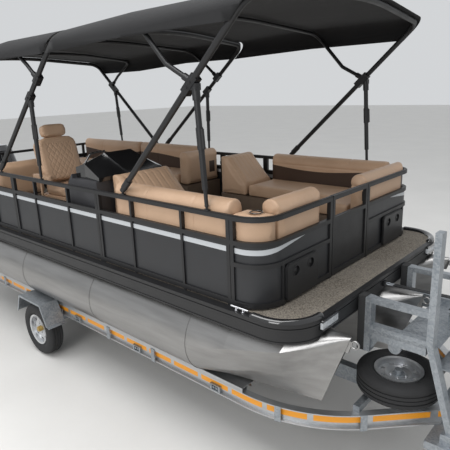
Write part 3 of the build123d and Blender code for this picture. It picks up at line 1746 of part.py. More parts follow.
def stand_side(y):
    """Post, top tube, deep plate, upright and sloping leg of one side frame."""
    y0 = y - stand_depth / 2
    y1 = y + stand_depth / 2
    post = block(post_s, post_s + stand_tube, y0, y1, plate_low_z - 105, -20)
    top = block(post_s, upright_s, y0 + 10, y1 - 10, -60, -20)
    plate = block(post_s, upright_s, y0 + 10, y1 - 10, plate_low_z, plate_top_z)
    upright = block(upright_s, upright_s + stand_tube, y0, y1, plate_top_z - 20, handrail_z)
    slope = side_profile(
        [
            (upright_s, plate_top_z - 20),
            (upright_s + stand_tube, plate_top_z - 20),
            (stand_foot_s + stand_tube, stand_foot_z),
            (stand_foot_s, stand_foot_z),
        ],
        y0,
        y1,
    )
    gusset = side_profile(
        [
            (post_s + stand_tube, plate_low_z),
            (post_s + stand_tube, plate_low_z - 90),
            (post_s + stand_tube + 60, plate_low_z),
        ],
        y - 5,
        y + 5,
    )
    return [post, top, plate, upright, slope, gusset]


def step_s(z):
    share = (plate_top_z - 20 - z) / (plate_top_z - 20 - stand_foot_z)
    return upright_s + share * (stand_foot_s - upright_s)


def bow_stand():
    y_left = stand_y - stand_half + stand_depth / 2
    y_right = stand_y + stand_half - stand_depth / 2
    shapes = stand_side(y_left) + stand_side(y_right)
    inner0 = y_left + stand_depth / 2 - 15
    inner1 = y_right - stand_depth / 2 + 15
    platform_z = plate_top_z - 45
    shapes.append(block(280, upright_s + 70, inner0, inner1, platform_z - 5, platform_z))
    shapes.append(block(280, 285, inner0, inner1, platform_z - 45, platform_z))
    for z in step_places:
        s = step_s(z)
        shapes.append(block(s + 5, s + 150, inner0, inner1, z - 5, z))
        shapes.append(block(s + 145, s + 150, inner0, inner1, z - 35, z))
    shapes.append(
        rod(
            point(cross_tube_s, y_left, plate_low_z - cross_tube_radius + 12),
            point(cross_tube_s, y_right, plate_low_z - cross_tube_radius + 12),
            cross_tube_radius,
        )
    )
    foot_z = rail_foot_z - deck_top_z
    for y in (y_left, y_right):
        shapes.append(block(stand_foot_s - 30, stand_foot_s + 60, y - 60, y + 60, foot_z, stand_foot_z))
    shapes.append(
        block(upright_s + 10, upright_s + 65, winch_y - 28, winch_y + 28, platform_z - 5, winch_z - 60)
    )
    return joined(shapes)


def winch():
    """Winch on its post: two cheeks, drum, crank and the taut strap to the bow eye."""
    base = block(upright_s + 5, winch_s + 60, winch_y - 62, winch_y + 62, winch_z - 60, winch_z - 52)
    shapes = [base]
    for side in (-1, 1):
        y = winch_y + side * 56
        shapes.append(rounded_block(winch_s - 75, winch_s + 58, y - 4, y + 4, winch_z - 60, winch_z + 20, 3))
        shapes.append(rod(point(winch_s, y - 4, winch_z + 10), point(winch_s, y + 4, winch_z + 10), 58))
    shapes.append(rod(point(winch_s, winch_y - 60, winch_z), point(winch_s, winch_y + 60, winch_z), drum_radius))
    hub = point(winch_s, winch_y - 60, winch_z)
    shapes.append(rod(hub, hub - Vector(0, 50, 0), 10))
    arm_end = hub + Vector(70, -48, -150)
    shapes.append(rod(hub - Vector(0, 44, 0), arm_end, 8))
    shapes.append(rod(arm_end + Vector(0, 6, 0), arm_end - Vector(0, 95, 0), 15))
    strap_top = winch_z + drum_radius
    strap = side_profile(
        [
            (winch_s, strap_top - 5),
            (winch_s, strap_top),
            (58, -64),
            (58, -69),
        ],
        winch_y - 24,
        winch_y + 24,
    )
    shapes.append(strap)
    hook = Plane(origin=point(38, winch_y, -67), z_dir=(0, 0, 1))
    shapes.append(Solid.make_torus(18, 5, hook))
    return joined(shapes)


def stand_pads():
    pads = []
    for side in (-1, 1):
        y = stand_y + side * (stand_half - stand_depth / 2)
        low = plate_low_z - 105
        pads.append(
            block(
                seam_gap, post_s, y - stand_depth / 2, y + stand_depth / 2, low, low + pad_length
            )
        )
    return pads


# Drawbar, coupling and jockey wheel
def trailer_drawbar():
    """Central beam, the foot beam under the stand and a gusset each side."""
    half = drawbar_width / 2
    z1 = rail_foot_z
    beam = floor_block(drawbar_rear_s, coupling_reach - 240, -half, half, z1 - drawbar_height, z1)
    foot = floor_block(foot_beam_s, foot_beam_s + foot_beam_length, -560, 560, z1 - foot_beam_height, z1)
    return beam + foot


ball_radius = 25
coupling_length = 320
coupling_width = 76


def coupling():
    """Pressed housing on the drawbar's nose, over the ball, with its handle."""
    z1 = rail_foot_z
    nose_s = coupling_reach - 60
    rear_s = coupling_reach - coupling_length
    body = side_profile(
        [
            (rear_s, z1 - deck_top_z),
            (rear_s, z1 - deck_top_z + 62),
            (rear_s + 150, z1 - deck_top_z + 62),
            (nose_s, z1 - deck_top_z + 46),
            (nose_s, z1 - deck_top_z),
        ],
        -coupling_width / 2,
        coupling_width / 2,
    )
    nose = rod((along(nose_s), 0, z1 - 20), (along(nose_s), 0, z1 + 30), 60)
    crown = Solid.make_cone(60, 38, 18, Plane(origin=(along(nose_s), 0, z1 + 30), z_dir=(0, 0, 1)))
    socket = rod((along(nose_s), 0, z1 - 21), (along(nose_s), 0, z1 + 20), ball_radius + 0.3)
    handle = bent_tube(
        [
            Vector(along(rear_s + 110), 0, z1 + 55),
            Vector(along(rear_s + 150), 0, z1 + 105),
            Vector(along(nose_s + 10), 0, z1 + 112),
        ],
        [25],
        10,
    )
    return body + nose + crown + handle - socket


jockey_trail = 40


def jockey():
    """Leg with its clamp and crank, fork, and small wheel."""
    y = -(drawbar_width / 2 + 40)
    s = jockey_s
    z1 = rail_foot_z
    leg = rod((along(s), y, 300), (along(s), y, 720), 30)
    clamp = floor_block(s - 40, s + 40, y - 40, -drawbar_width / 2, z1 - 100, z1 - 20)
    cap = rod((along(s), y, 720), (along(s), y, 740), 22)
    crank = rod((along(s), y, 735), (along(s + 90), y, 735), 7)
    grip = rod((along(s + 90), y, 728), (along(s + 90), y, 800), 13)
    leg = joined([leg, clamp, cap, crank, grip])
    leg = leg - rod((along(s), y, 250), (along(s), y, 640), 24.06)
    inner = rod((along(s), y, 240), (along(s), y, 630), 24)
    wheel_s = s - jockey_trail
    crown = floor_block(wheel_s - 30, s + 30, y - 45, y + 45, 240, 252)
    fork = inner + crown
    for side in (-1, 1):
        cheek = floor_block(
            wheel_s - 25, wheel_s + 25, y + side * 39, y + side * 45, jockey_radius - 25, 245
        )
        fork = fork + cheek
    pin = rod((along(wheel_s), y - 45, jockey_radius), (along(wheel_s), y + 45, jockey_radius), 10)
    fork = fork + pin
    half = jockey_width / 2
    small_wheel = rod(
        (along(wheel_s), y - half, jockey_radius), (along(wheel_s), y + half, jockey_radius), jockey_radius
    )
    for side in (-1, 1):
        dish = rod(
            (along(wheel_s), y + side * (half - 12), jockey_radius),
            (along(wheel_s), y + side * (half + 1), jockey_radius),
            jockey_radius * 0.62,
        )
        boss = rod(
            (along(wheel_s), y + side * (half - 13), jockey_radius),
            (along(wheel_s), y + side * half, jockey_radius),
            24,
        )
        small_wheel = small_wheel - dish + boss
    bore = rod((along(wheel_s), y - 60, jockey_radius), (along(wheel_s), y + 60, jockey_radius), 10.06)
    return leg, fork, small_wheel - bore


def tail_light(side):
    """Lamp body with a sloping lens face, behind the end of the rail."""
    z0 = rail_foot_z - 60
    y0, y1 = sorted((side * (rail_outer_y - 200), side * rail_outer_y))
    outline = [
        (rail_rear_s - seam_gap, z0),
        (rail_rear_s - seam_gap, z0 + 100),
        (rail_rear_s - 30, z0 + 100),
        (rail_rear_s - 44, z0 + 14),
        (rail_rear_s - 40, z0),
    ]
    return side_profile([(s, z - deck_top_z) for s, z in outline], y0, y1)


def build():
    os.makedirs("parts", exist_ok=True)
    save("pontoon_starboard", pontoon(-tube_spacing, 0))
    save("pontoon_centre", pontoon(0, centre_nose_reach))
    save("pontoon_port", pontoon(tube_spacing, 0))
    save("deck_frame", deck_frame())
    save("deck", deck())
    save("deck_skirt", joined([deck_skirt()] + ladder_brackets()))
    save("corner_bumpers", corner_bumpers())
    save("docking_lights", [docking_light(-light_y), docking_light(light_y)])
    bow_cleat_s = -490
    stern_cleat_s = fence_rear_s - 80
    cleats = [cleat(s, side * cleat_y) for s in (bow_cleat_s, stern_cleat_s) for side in (-1, 1)]
    save("cleats", cleats)
    frames, sheets = fence()
    for name, frame in frames.items():
        save(f"fence_frame_{name}", frame)
        save(f"fence_panels_{name}", sheets[name])
    for name, gate in gates.items():
        save(name, gate_leaf(gate))
    save("access_panels", [access_plate(*row) for row in access_plates])
    bases = []
    for name, side in (("starboard", -1), ("port", 1)):
        base, cushions = bow_seat(side)
        bases.append(base)
        save(f"bow_seat_{name}_cushions", cushions)
    save("bow_seat_bases", bases)
    benches = [bench(*row) for row in aft_benches]
    save("aft_seat_bases", [base for base, _ in benches])
    save("port_bench_cushions", benches[0][1] + benches[1][1])
    save("aft_lounge_cushions", benches[2][1])
    pedestal, chair, pads = captain_chair()
    save("captain_chair_pedestal", pedestal)
    save("captain_chair_frame", chair)
    save("captain_chair_cushions", pads)
    save("helm_console", helm_console())
    save("windscreen", windscreen())
    save("steering_wheel", steering_wheel())
    save("bimini_frame", bimini_frame())
    front = canopy_rows("front", canopy_overhang, second_bows[:1], "middle", canopy_clear)
    rear = canopy_rows("middle", -canopy_clear, second_bows[1:], "rear", -canopy_overhang)
    save("canopy_front", canopy(front))
    save("canopy_rear", canopy(rear))
    save("motor_bracket", motor_bracket())
    save("motor_swivel", motor_swivel())
    save("motor_body", motor_body())
    save("propeller", propeller())
    save("boarding_ladder", boarding_ladder())
    rail = trailer_rail()
    save("trailer_rails", [rail, mirrored(rail)])
    carrier, carrier_pads = spare_carrier()
    brackets = [end_bracket(s, side) for s in cross_places for side in (-1, 1)]
    members = [cross_member(s) for s in cross_places]
    save("trailer_cross_members", members + brackets + [carrier] + rail_straps())
    save("trailer_bunks", [bunk(-1, 1), bunk(1, 1), bunk(1, 0)])
    save("trailer_axle", trailer_axle())
    save("mudguards", [mudguard(-1), mudguard(1)])
    for name, side in (("starboard", -1), ("port", 1)):
        rubber, disc = wheel(side)
        save(f"wheel_{name}_tyre", rubber)
        save(f"wheel_{name}_rim", disc)
    rubber, disc = spare_wheel()
    save("spare_tyre", rubber)
    save("spare_rim", disc)
    save("bow_stand", bow_stand())
    save("winch", winch())
    save("stand_pads", stand_pads())
    save("trailer_drawbar", trailer_drawbar())
    save("coupling", coupling())
    leg, fork, small_wheel = jockey()
    save("jockey_leg", leg)
    save("jockey_fork", fork)
    save("jockey_wheel", small_wheel)
    save("tail_lights", [tail_light(-1), tail_light(1)])


build()
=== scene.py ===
# %% [markdown]
# # A pontoon boat on its trailer
# The boat and trailer arrive as a frame of finished solids, in metres, with +X to the
# bow, +Y to port and the floor at z = 0. This lesson dresses that frame: it gives
# every surface a finish, and swaps the plain soft blocks for upholstery and cloth.

# %% The frame and its size
from math import cos, exp, pi, radians, sin

import bmesh
import bpy
from mathutils import Matrix, Vector


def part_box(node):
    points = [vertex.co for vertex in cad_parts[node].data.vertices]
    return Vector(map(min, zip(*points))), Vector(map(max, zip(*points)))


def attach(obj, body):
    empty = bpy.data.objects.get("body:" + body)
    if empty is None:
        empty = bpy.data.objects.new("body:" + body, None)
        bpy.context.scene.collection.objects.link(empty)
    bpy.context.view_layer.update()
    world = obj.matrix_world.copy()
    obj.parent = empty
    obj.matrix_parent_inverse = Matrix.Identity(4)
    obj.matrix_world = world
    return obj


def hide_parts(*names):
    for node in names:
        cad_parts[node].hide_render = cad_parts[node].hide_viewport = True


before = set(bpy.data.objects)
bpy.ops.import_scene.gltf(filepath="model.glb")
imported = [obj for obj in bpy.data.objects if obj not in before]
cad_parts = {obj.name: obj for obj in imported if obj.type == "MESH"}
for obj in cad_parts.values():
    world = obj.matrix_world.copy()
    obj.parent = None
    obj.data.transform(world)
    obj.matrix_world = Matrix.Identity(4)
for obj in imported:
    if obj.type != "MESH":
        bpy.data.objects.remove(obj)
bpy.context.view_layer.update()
scene = bpy.context.scene

# %% [markdown]
# ## The camera
# A photograph fixes a camera completely: where it stands, where it looks, how it is
# rolled and how long its lens is. The three directions of the view are worked out
# from two angles and a roll, and become the columns of the camera's matrix.

# %% Camera
camera_place = Vector((4.1797, -3.5667, 2.8850))
camera_yaw = radians(132.092)
camera_pitch = radians(15.669)
camera_roll = radians(-2.034)
camera_lens = 39.02

forward = Vector(
    (
        cos(camera_pitch) * cos(camera_yaw),
        cos(camera_pitch) * sin(camera_yaw),
        -sin(camera_pitch),
    )
)
level = forward.cross(Vector((0, 0, 1))).normalized()
upright = level.cross(forward)
across = level * cos(camera_roll) + upright * sin(camera_roll)
above = upright * cos(camera_roll) - level * sin(camera_roll)

camera_data = bpy.data.cameras.new("camera")
camera_data.lens = camera_lens
camera_data.clip_end = 200
camera = bpy.data.objects.new("camera", camera_data)
turn = Matrix((across, above, -forward)).transposed()
camera.matrix_world = Matrix.Translation(camera_place) @ turn.to_4x4()
scene.collection.objects.link(camera)
scene.camera = camera

# %% [markdown]
# ## Floor and light
# A showroom's light comes from everywhere. A pale world lights the boat evenly, one
# broad lamp above makes the soft shadow, and the floor stays plain.

# %% Floor
floor_mesh = bpy.data.meshes.new("floor")
floor_shape = bmesh.new()
bmesh.ops.create_grid(floor_shape, x_segments=1, y_segments=1, size=60)
floor_shape.to_mesh(floor_mesh)
floor_shape.free()
floor = bpy.data.objects.new("floor", floor_mesh)
scene.collection.objects.link(floor)

# %% World and lamps
world = bpy.data.worlds.new("studio")
scene.world = world
world.use_nodes = True
sky = world.node_tree.nodes["Background"]
sky.inputs["Color"].default_value = (0.86, 0.88, 0.90, 1)
sky.inputs["Strength"].default_value = 0.75


def soft_lamp(name, place, target, size, power):
    """Square area lamp that faces a target."""
    lamp_data = bpy.data.lights.new(name, "AREA")
    lamp_data.shape = "SQUARE"
    lamp_data.size = size
    lamp_data.energy = power
    lamp = bpy.data.objects.new(name, lamp_data)
    lamp.location = place
    aim = Vector(target) - Vector(place)
    lamp.rotation_euler = aim.to_track_quat("-Z", "Y").to_euler()
    scene.collection.objects.link(lamp)
    return lamp


soft_lamp("lamp_over", (0, -2, 9), (0, 0, 1), 7, 700)
soft_lamp("lamp_starboard", (3, -9, 5), (0, 0, 1), 4, 260)

# %% View
scene.view_settings.view_transform = "Standard"

# %% [markdown]
# ## Words for shader nodes
# Every finish below is a small graph of nodes. A few helpers keep the graphs short:
# one adds a node, one joins or sets a socket, and the rest are the sums that a mask
# is made of. A mask is a number from 0 to 1 that says where a second colour goes.


# %% Node helpers
def feed(tree, socket, value):
    """Join a socket to another one, or set it to a constant."""
    if isinstance(value, bpy.types.NodeSocket):
        tree.links.new(value, socket)
    elif isinstance(value, tuple) and len(value) == 3 and socket.type == "RGBA":
        socket.default_value = (*value, 1)
    else:
        socket.default_value = value


def add(tree, kind, **settings):
    """New shader node with its settings."""
    node = tree.nodes.new("ShaderNode" + kind)
    for key, value in settings.items():
        setattr(node, key, value)
    return node


def maths(tree, operation, *values):
    """Result of a Math node."""
    node = add(tree, "Math", operation=operation)
    for socket, value in zip(node.inputs, values):
        feed(tree, socket, value)
    return node.outputs[0]


def spread(tree, value, low, high, to_low=0.0, to_high=1.0):
    """Value moved from one range to another and held inside it."""
    node = add(tree, "MapRange")
    for socket, part in zip(node.inputs, (value, low, high, to_low, to_high)):
        feed(tree, socket, part)
    return node.outputs[0]


def mixed(tree, mask, first, second):
    """First colour where the mask is 0, and second where it is 1."""
    node = add(tree, "Mix", data_type="RGBA")
    feed(tree, node.inputs[0], mask)
    feed(tree, node.inputs[6], first)
    feed(tree, node.inputs[7], second)
    return node.outputs[2]


def clouds(tree, vector, scale, detail=3.0):
    """Soft noise from 0 to 1."""
    node = add(tree, "TexNoise")
    feed(tree, node.inputs["Vector"], vector)
    feed(tree, node.inputs["Scale"], scale)
    node.inputs["Detail"].default_value = detail
    return node.outputs[0]


def within(tree, value, low, high, soft=0.001):
    """Mask of the values between two limits."""
    rise = spread(tree, value, low - soft, low + soft)
    fall = spread(tree, value, high - soft, high + soft, 1.0, 0.0)
    return maths(tree, "MULTIPLY", rise, fall)


def both(tree, *masks):
    """Mask of the places that are in every mask."""
    result = masks[0]
    for mask in masks[1:]:
        result = maths(tree, "MULTIPLY", result, mask)
    return result


# %% [markdown]
# ## Effects that several finishes share
# Uneven tone, vinyl grain, weave and zinc spangle are each one node group, built once.
# A group puts out only what changes over the surface: a colour, a roughness, a height
# or a mask. The shader itself stays in the material that uses the group.


# %% Group helper
def new_group(name, takes, gives):
    """Empty node group with named sockets."""
    group = bpy.data.node_groups.new(name, "ShaderNodeTree")
    for label, kind in takes:
        group.interface.new_socket(label, in_out="INPUT", socket_type="NodeSocket" + kind)
    for label, kind in gives:
        group.interface.new_socket(label, in_out="OUTPUT", socket_type="NodeSocket" + kind)
    entry = group.nodes.new("NodeGroupInput")
    result = group.nodes.new("NodeGroupOutput")
    return group, entry.outputs, result.inputs


def use_group(tree, group, **values):
    """Place a group in a material and give its inputs their values."""
    node = add(tree, "Group", node_tree=group)
    for label, value in values.items():
        feed(tree, node.inputs[label], value)
    return node.outputs


# %% Uneven tone
tone_group, takes, gives = new_group(
    "uneven_tone",
    [
        ("Vector", "Vector"),
        ("Scale", "Float"),
        ("Light", "Color"),
        ("Dark", "Color"),
        ("Smooth", "Float"),
        ("Rough", "Float"),
    ],
    [("Colour", "Color"), ("Roughness", "Float"), ("Height", "Float")],
)
broad = spread(tone_group, clouds(tone_group, takes["Vector"], takes["Scale"]), 0.3, 0.7)
fine_scale = maths(tone_group, "MULTIPLY", takes["Scale"], 17.0)
fine = clouds(tone_group, takes["Vector"], fine_scale, 2.0)
blend_of_both = maths(
    tone_group,
    "ADD",
    maths(tone_group, "MULTIPLY", broad, 0.7),
    maths(tone_group, "MULTIPLY", fine, 0.3),
)
feed(
    tone_group,
    gives["Colour"],
    mixed(tone_group, blend_of_both, takes["Dark"], takes["Light"]),
)
feed(
    tone_group,
    gives["Roughness"],
    spread(tone_group, blend_of_both, 0.0, 1.0, takes["Smooth"], takes["Rough"]),
)
feed(tone_group, gives["Height"], fine)

# %% Vinyl grain
grain_group, takes, gives = new_group(
    "vinyl_grain", [("Vector", "Vector"), ("Scale", "Float")], [("Height", "Float")]
)
pebbles = add(grain_group, "TexVoronoi", feature="SMOOTH_F1")
feed(grain_group, pebbles.inputs["Vector"], takes["Vector"])
feed(grain_group, pebbles.inputs["Scale"], takes["Scale"])
pores = clouds(grain_group, takes["Vector"], takes["Scale"], 4.0)
feed(
    grain_group,
    gives["Height"],
    maths(grain_group, "SUBTRACT", maths(grain_group, "MULTIPLY", pores, 0.6), pebbles.outputs[0]),
)

# %% Woven threads
weave_group, takes, gives = new_group(
    "weave", [("Vector", "Vector"), ("Threads", "Float")], [("Height", "Float")]
)
parts = add(weave_group, "SeparateXYZ")
feed(weave_group, parts.inputs[0], takes["Vector"])


def thread(axis):
    """Height of the threads that cross one axis."""
    phase = maths(weave_group, "MULTIPLY", parts.outputs[axis], takes["Threads"])
    return maths(weave_group, "ABSOLUTE", maths(weave_group, "SINE", phase))


feed(weave_group, gives["Height"], maths(weave_group, "MULTIPLY", thread("X"), thread("Y")))

# %% Zinc spangle
spangle_group, takes, gives = new_group(
    "zinc_spangle", [("Vector", "Vector"), ("Scale", "Float")], [("Mask", "Float")]
)
crystals = add(spangle_group, "TexVoronoi")
feed(spangle_group, crystals.inputs["Vector"], takes["Vector"])
feed(spangle_group, crystals.inputs["Scale"], takes["Scale"])
shade = add(spangle_group, "SeparateColor")
feed(spangle_group, shade.inputs[0], crystals.outputs["Color"])
stain = clouds(spangle_group, takes["Vector"], 3.0)
feed(
    spangle_group,
    gives["Mask"],
    maths(spangle_group, "ADD", maths(spangle_group, "MULTIPLY", shade.outputs[0], 0.45),
          maths(spangle_group, "MULTIPLY", stain, 0.55)),
)

# %% [markdown]
# ## Finishes by the table
# Most surfaces differ only in colour, gloss and the size of their unevenness. One
# row of a table describes each, and one function turns the row into a material.
# Metallic and coat are the same all over, so they are set on the shader directly.


# %% Material helper
def new_material(name, metallic=0.0, coat=0.0, coat_rough=0.08):
    """Material with its tree, its shader and the piece's own coordinates."""
    material = bpy.data.materials.new(name)
    material.use_nodes = True
    tree = material.node_tree
    shader = tree.nodes["Principled BSDF"]
    shader.inputs["Metallic"].default_value = metallic
    shader.inputs["Coat Weight"].default_value = coat
    shader.inputs["Coat Roughness"].default_value = coat_rough
    place = add(tree, "TexCoord").outputs["Object"]
    return material, tree, shader, place


def stretched(tree, place, scale):
    """Coordinates scaled by axis, for a brushed or drawn surface."""
    node = add(tree, "Mapping")
    feed(tree, node.inputs["Vector"], place)
    node.inputs["Scale"].default_value = scale
    return node.outputs[0]


def bump(tree, shader, height, strength, depth):
    """Fine relief on the shader's normal."""
    node = add(tree, "Bump")
    node.inputs["Strength"].default_value = strength
    node.inputs["Distance"].default_value = depth
    feed(tree, node.inputs["Height"], height)
    feed(tree, shader.inputs["Normal"], node.outputs[0])


# %% Plain finishes
# Columns: name, light colour, dark colour, scale, smooth, rough, metallic, coat, stretch, relief
finishes = [
    ("aluminium", (0.40, 0.395, 0.39), (0.29, 0.285, 0.28), 3.0, 0.28, 0.42, 1, 0, (0.6, 6, 6), 0.15),
    ("black_trim", (0.012, 0.012, 0.013), (0.007, 0.007, 0.008), 6.0, 0.38, 0.52, 0, 0.05, (1, 1, 1), 0.2),
    ("gloss_trim", (0.012, 0.012, 0.013), (0.006, 0.006, 0.006), 4.0, 0.08, 0.16, 0, 1, (1, 1, 1), 0.0),
    ("bright_metal", (0.78, 0.78, 0.80), (0.66, 0.66, 0.68), 5.0, 0.12, 0.26, 1, 0, (1, 1, 1), 0.05),
    ("black_frame", (0.011, 0.011, 0.012), (0.007, 0.007, 0.008), 8.0, 0.40, 0.54, 0, 0.05, (1, 1, 1), 0.3),
    ("seat_base", (0.19, 0.135, 0.095), (0.13, 0.092, 0.066), 5.0, 0.50, 0.66, 0, 0, (1, 1, 1), 0.3),
    ("console", (0.050, 0.050, 0.055), (0.030, 0.030, 0.033), 6.0, 0.42, 0.60, 0, 0, (1, 1, 1), 0.4),
    ("tyre", (0.026, 0.026, 0.027), (0.014, 0.014, 0.015), 14.0, 0.70, 0.88, 0, 0, (1, 1, 1), 0.5),
    ("black_rubber", (0.030, 0.030, 0.031), (0.018, 0.018, 0.019), 9.0, 0.62, 0.80, 0, 0, (1, 1, 1), 0.4),
    ("lamp_red", (0.42, 0.012, 0.010), (0.30, 0.008, 0.008), 30.0, 0.10, 0.18, 0, 1, (1, 1, 1), 0.1),
    ("motor_gloss", (0.012, 0.012, 0.014), (0.007, 0.007, 0.008), 3.0, 0.12, 0.22, 0, 1, (1, 1, 1), 0.0),
    ("bunk_aluminium", (0.56, 0.57, 0.58), (0.42, 0.43, 0.44), 4.0, 0.32, 0.50, 1, 0, (0.5, 8, 8), 0.2),
    ("plain_floor", (0.72, 0.71, 0.69), (0.66, 0.65, 0.63), 0.8, 0.55, 0.70, 0, 0, (1, 1, 1), 0.0),
]
finish = {}
for name, light, dark, scale, smooth, rough, metallic, coat, stretch, relief in finishes:
    material, tree, shader, place = new_material(name, metallic, coat)
    tone = use_group(
        tree,
        tone_group,
        Vector=stretched(tree, place, stretch),
        Scale=scale,
        Light=light,
        Dark=dark,
        Smooth=smooth,
        Rough=rough,
    )
    feed(tree, shader.inputs["Base Color"], tone["Colour"])
    feed(tree, shader.inputs["Roughness"], tone["Roughness"])
    if relief:
        bump(tree, shader, tone["Height"], relief, 0.001)
    finish[name] = material
floor.data.materials.append(finish["plain_floor"])
print("plain finishes", len(finish))

# %% [markdown]
# ## Deck carpet
# The deck is covered with a woven mat in beige and grey, with darker flecks where
# the lower yarn shows. The weave group gives the relief, and two noises the flecks.

# %% Carpet
material, tree, shader, place = new_material("woven_carpet")
threads = use_group(tree, weave_group, Vector=place, Threads=520.0)["Height"]
flecks = spread(tree, clouds(tree, place, 120.0, 3.0), 0.44, 0.60)
wear = spread(tree, clouds(tree, place, 2.5), 0.35, 0.7)
yarn = mixed(tree, flecks, (0.235, 0.205, 0.165), (0.070, 0.060, 0.050))
worn = maths(tree, "MULTIPLY", wear, 0.35)
feed(tree, shader.inputs["Base Color"], mixed(tree, worn, yarn, (0.27, 0.245, 0.21)))
feed(tree, shader.inputs["Roughness"], spread(tree, threads, 0.0, 1.0, 0.86, 0.97))
bump(tree, shader, maths(tree, "ADD", threads, flecks), 0.5, 0.0015)
finish["carpet"] = material

# %% [markdown]
# ## Charcoal panels with a silver stripe
# The fence panels are painted sheet. A silver line runs along each side and thins to
# a point round the bow, so its half height is a function of the distance to the
# centre line, and its middle rises a little where it thins.

# %% Panels
stripe_z = 1.830
stripe_half = 0.019
stripe_rise = 0.045
material, tree, shader, place = new_material("charcoal_panel", 0.0, 0.1, 0.2)
axes = add(tree, "SeparateXYZ")
feed(tree, axes.inputs[0], place)
from_centre = maths(tree, "ABSOLUTE", axes.outputs["Y"])
half = spread(tree, from_centre, 0.60, 1.12, 0.0, stripe_half)
bow_part = spread(tree, axes.outputs["X"], 2.25, 2.36)
lift = maths(tree, "MULTIPLY", spread(tree, from_centre, 0.62, 1.15, stripe_rise, 0.0), bow_part)
middle = maths(tree, "ADD", lift, stripe_z)
off_line = maths(tree, "ABSOLUTE", maths(tree, "SUBTRACT", axes.outputs["Z"], middle))
stripe = maths(tree, "LESS_THAN", off_line, half)
tone = use_group(
    tree,
    tone_group,
    Vector=place,
    Scale=5.0,
    Light=(0.020, 0.021, 0.024),
    Dark=(0.013, 0.0135, 0.0155),
    Smooth=0.38,
    Rough=0.50,
)
feed(tree, shader.inputs["Base Color"], mixed(tree, stripe, tone["Colour"], (0.50, 0.52, 0.54)))
feed(tree, shader.inputs["Roughness"], tone["Roughness"])
bump(tree, shader, tone["Height"], 0.1, 0.0006)
finish["panel"] = material

# %% [markdown]
# ## Galvanised steel
# Zinc cools in crystals, each with its own shade of blue grey, and weathers in soft
# patches. The same spangle group serves the members, the mudguards and the stand.
# The stand's platform also has a raised tread pattern, made by two crossed waves.


# %% Galvanised
def galvanised(name, light, dark, metallic=0.75):
    """Zinc finish; the tree and coordinates are given back for more to be added."""
    material, tree, shader, place = new_material(name, metallic)
    mask = use_group(tree, spangle_group, Vector=place, Scale=70.0)["Mask"]
    colour = mixed(tree, spread(tree, mask, 0.2, 0.8), dark, light)
    feed(tree, shader.inputs["Base Color"], colour)
    feed(tree, shader.inputs["Roughness"], spread(tree, mask, 0.2, 0.8, 0.36, 0.58))
    finish[name] = material
    return tree, shader, place, colour


zinc_light = (0.42, 0.445, 0.47)
zinc_dark = (0.25, 0.275, 0.30)
galvanised("galvanised", zinc_light, zinc_dark)

# %% Stand with a tread plate
tree, shader, place, colour = galvanised("stand_zinc", zinc_light, zinc_dark)
axes = add(tree, "SeparateXYZ")
feed(tree, axes.inputs[0], place)
along = maths(tree, "ADD", axes.outputs["X"], axes.outputs["Y"])
away = maths(tree, "SUBTRACT", axes.outputs["X"], axes.outputs["Y"])
tread_waves = 230.0
bars = maths(
    tree,
    "MULTIPLY",
    maths(tree, "SINE", maths(tree, "MULTIPLY", along, tread_waves)),
    maths(tree, "SINE", maths(tree, "MULTIPLY", away, tread_waves)),
)
plate = within(tree, axes.outputs["Z"], 1.135, 1.160)
bump(tree, shader, maths(tree, "MULTIPLY", spread(tree, bars, 0.2, 0.6), plate), 1.0, 0.003)

# %% Winch with a dark strap
tree, shader, place, colour = galvanised("winch_zinc", zinc_light, zinc_dark, 0.6)
axes = add(tree, "SeparateXYZ")
feed(tree, axes.inputs[0], place)
strap = both(
    tree,
    within(tree, axes.outputs["X"], 2.775, 3.270),
    within(tree, axes.outputs["Y"], -0.095, -0.025),
)
feed(tree, shader.inputs["Base Color"], mixed(tree, strap, colour, (0.020, 0.020, 0.022)))


# %% [markdown]
# ## Wheels
# The rims are silver steel with a brass coloured cap over the hub nut. The cap is
# found by its distance from the wheel's own axis.


# %% Rims
def rim_finish(name, centre, axes_used, cap_axis, cap_low, cap_high):
    """Silver rim whose hub cap, round one axis, is brass."""
    material, tree, shader, place = new_material(name, 0.85)
    axes = add(tree, "SeparateXYZ")
    feed(tree, axes.inputs[0], place)
    sides = [
        maths(tree, "POWER", maths(tree, "ABSOLUTE", maths(tree, "SUBTRACT", axes.outputs[axis], value)), 2.0)
        for axis, value in zip(axes_used, centre)
    ]
    reach = maths(tree, "SQRT", maths(tree, "ADD", *sides))
    cap = both(
        tree,
        maths(tree, "LESS_THAN", reach, 0.034),
        within(tree, maths(tree, "ABSOLUTE", axes.outputs[cap_axis]), cap_low, cap_high),
    )
    tone = use_group(
        tree, tone_group, Vector=place, Scale=9.0, Light=(0.68, 0.69, 0.70),
        Dark=(0.50, 0.51, 0.53), Smooth=0.28, Rough=0.42,
    )
    feed(tree, shader.inputs["Base Color"], mixed(tree, cap, tone["Colour"], (0.52, 0.36, 0.12)))
    feed(tree, shader.inputs["Roughness"], tone["Roughness"])
    finish[name] = material


rim_finish("road_rim", (-0.840, 0.302), ("X", "Z"), "Y", 1.215, 1.400)
rim_finish("spare_rim_silver", (2.970, -0.355), ("X", "Y"), "Z", 0.800, 0.900)

# %% [markdown]
# ## Trailer rails
# The rails are mill aluminium, drawn lengthwise, with lengths of orange reflective
# tape on the upper half of the outer web. The tape repeats at a fixed pitch, and the
# mask also asks for a surface that faces sideways, so the flanges stay bare.

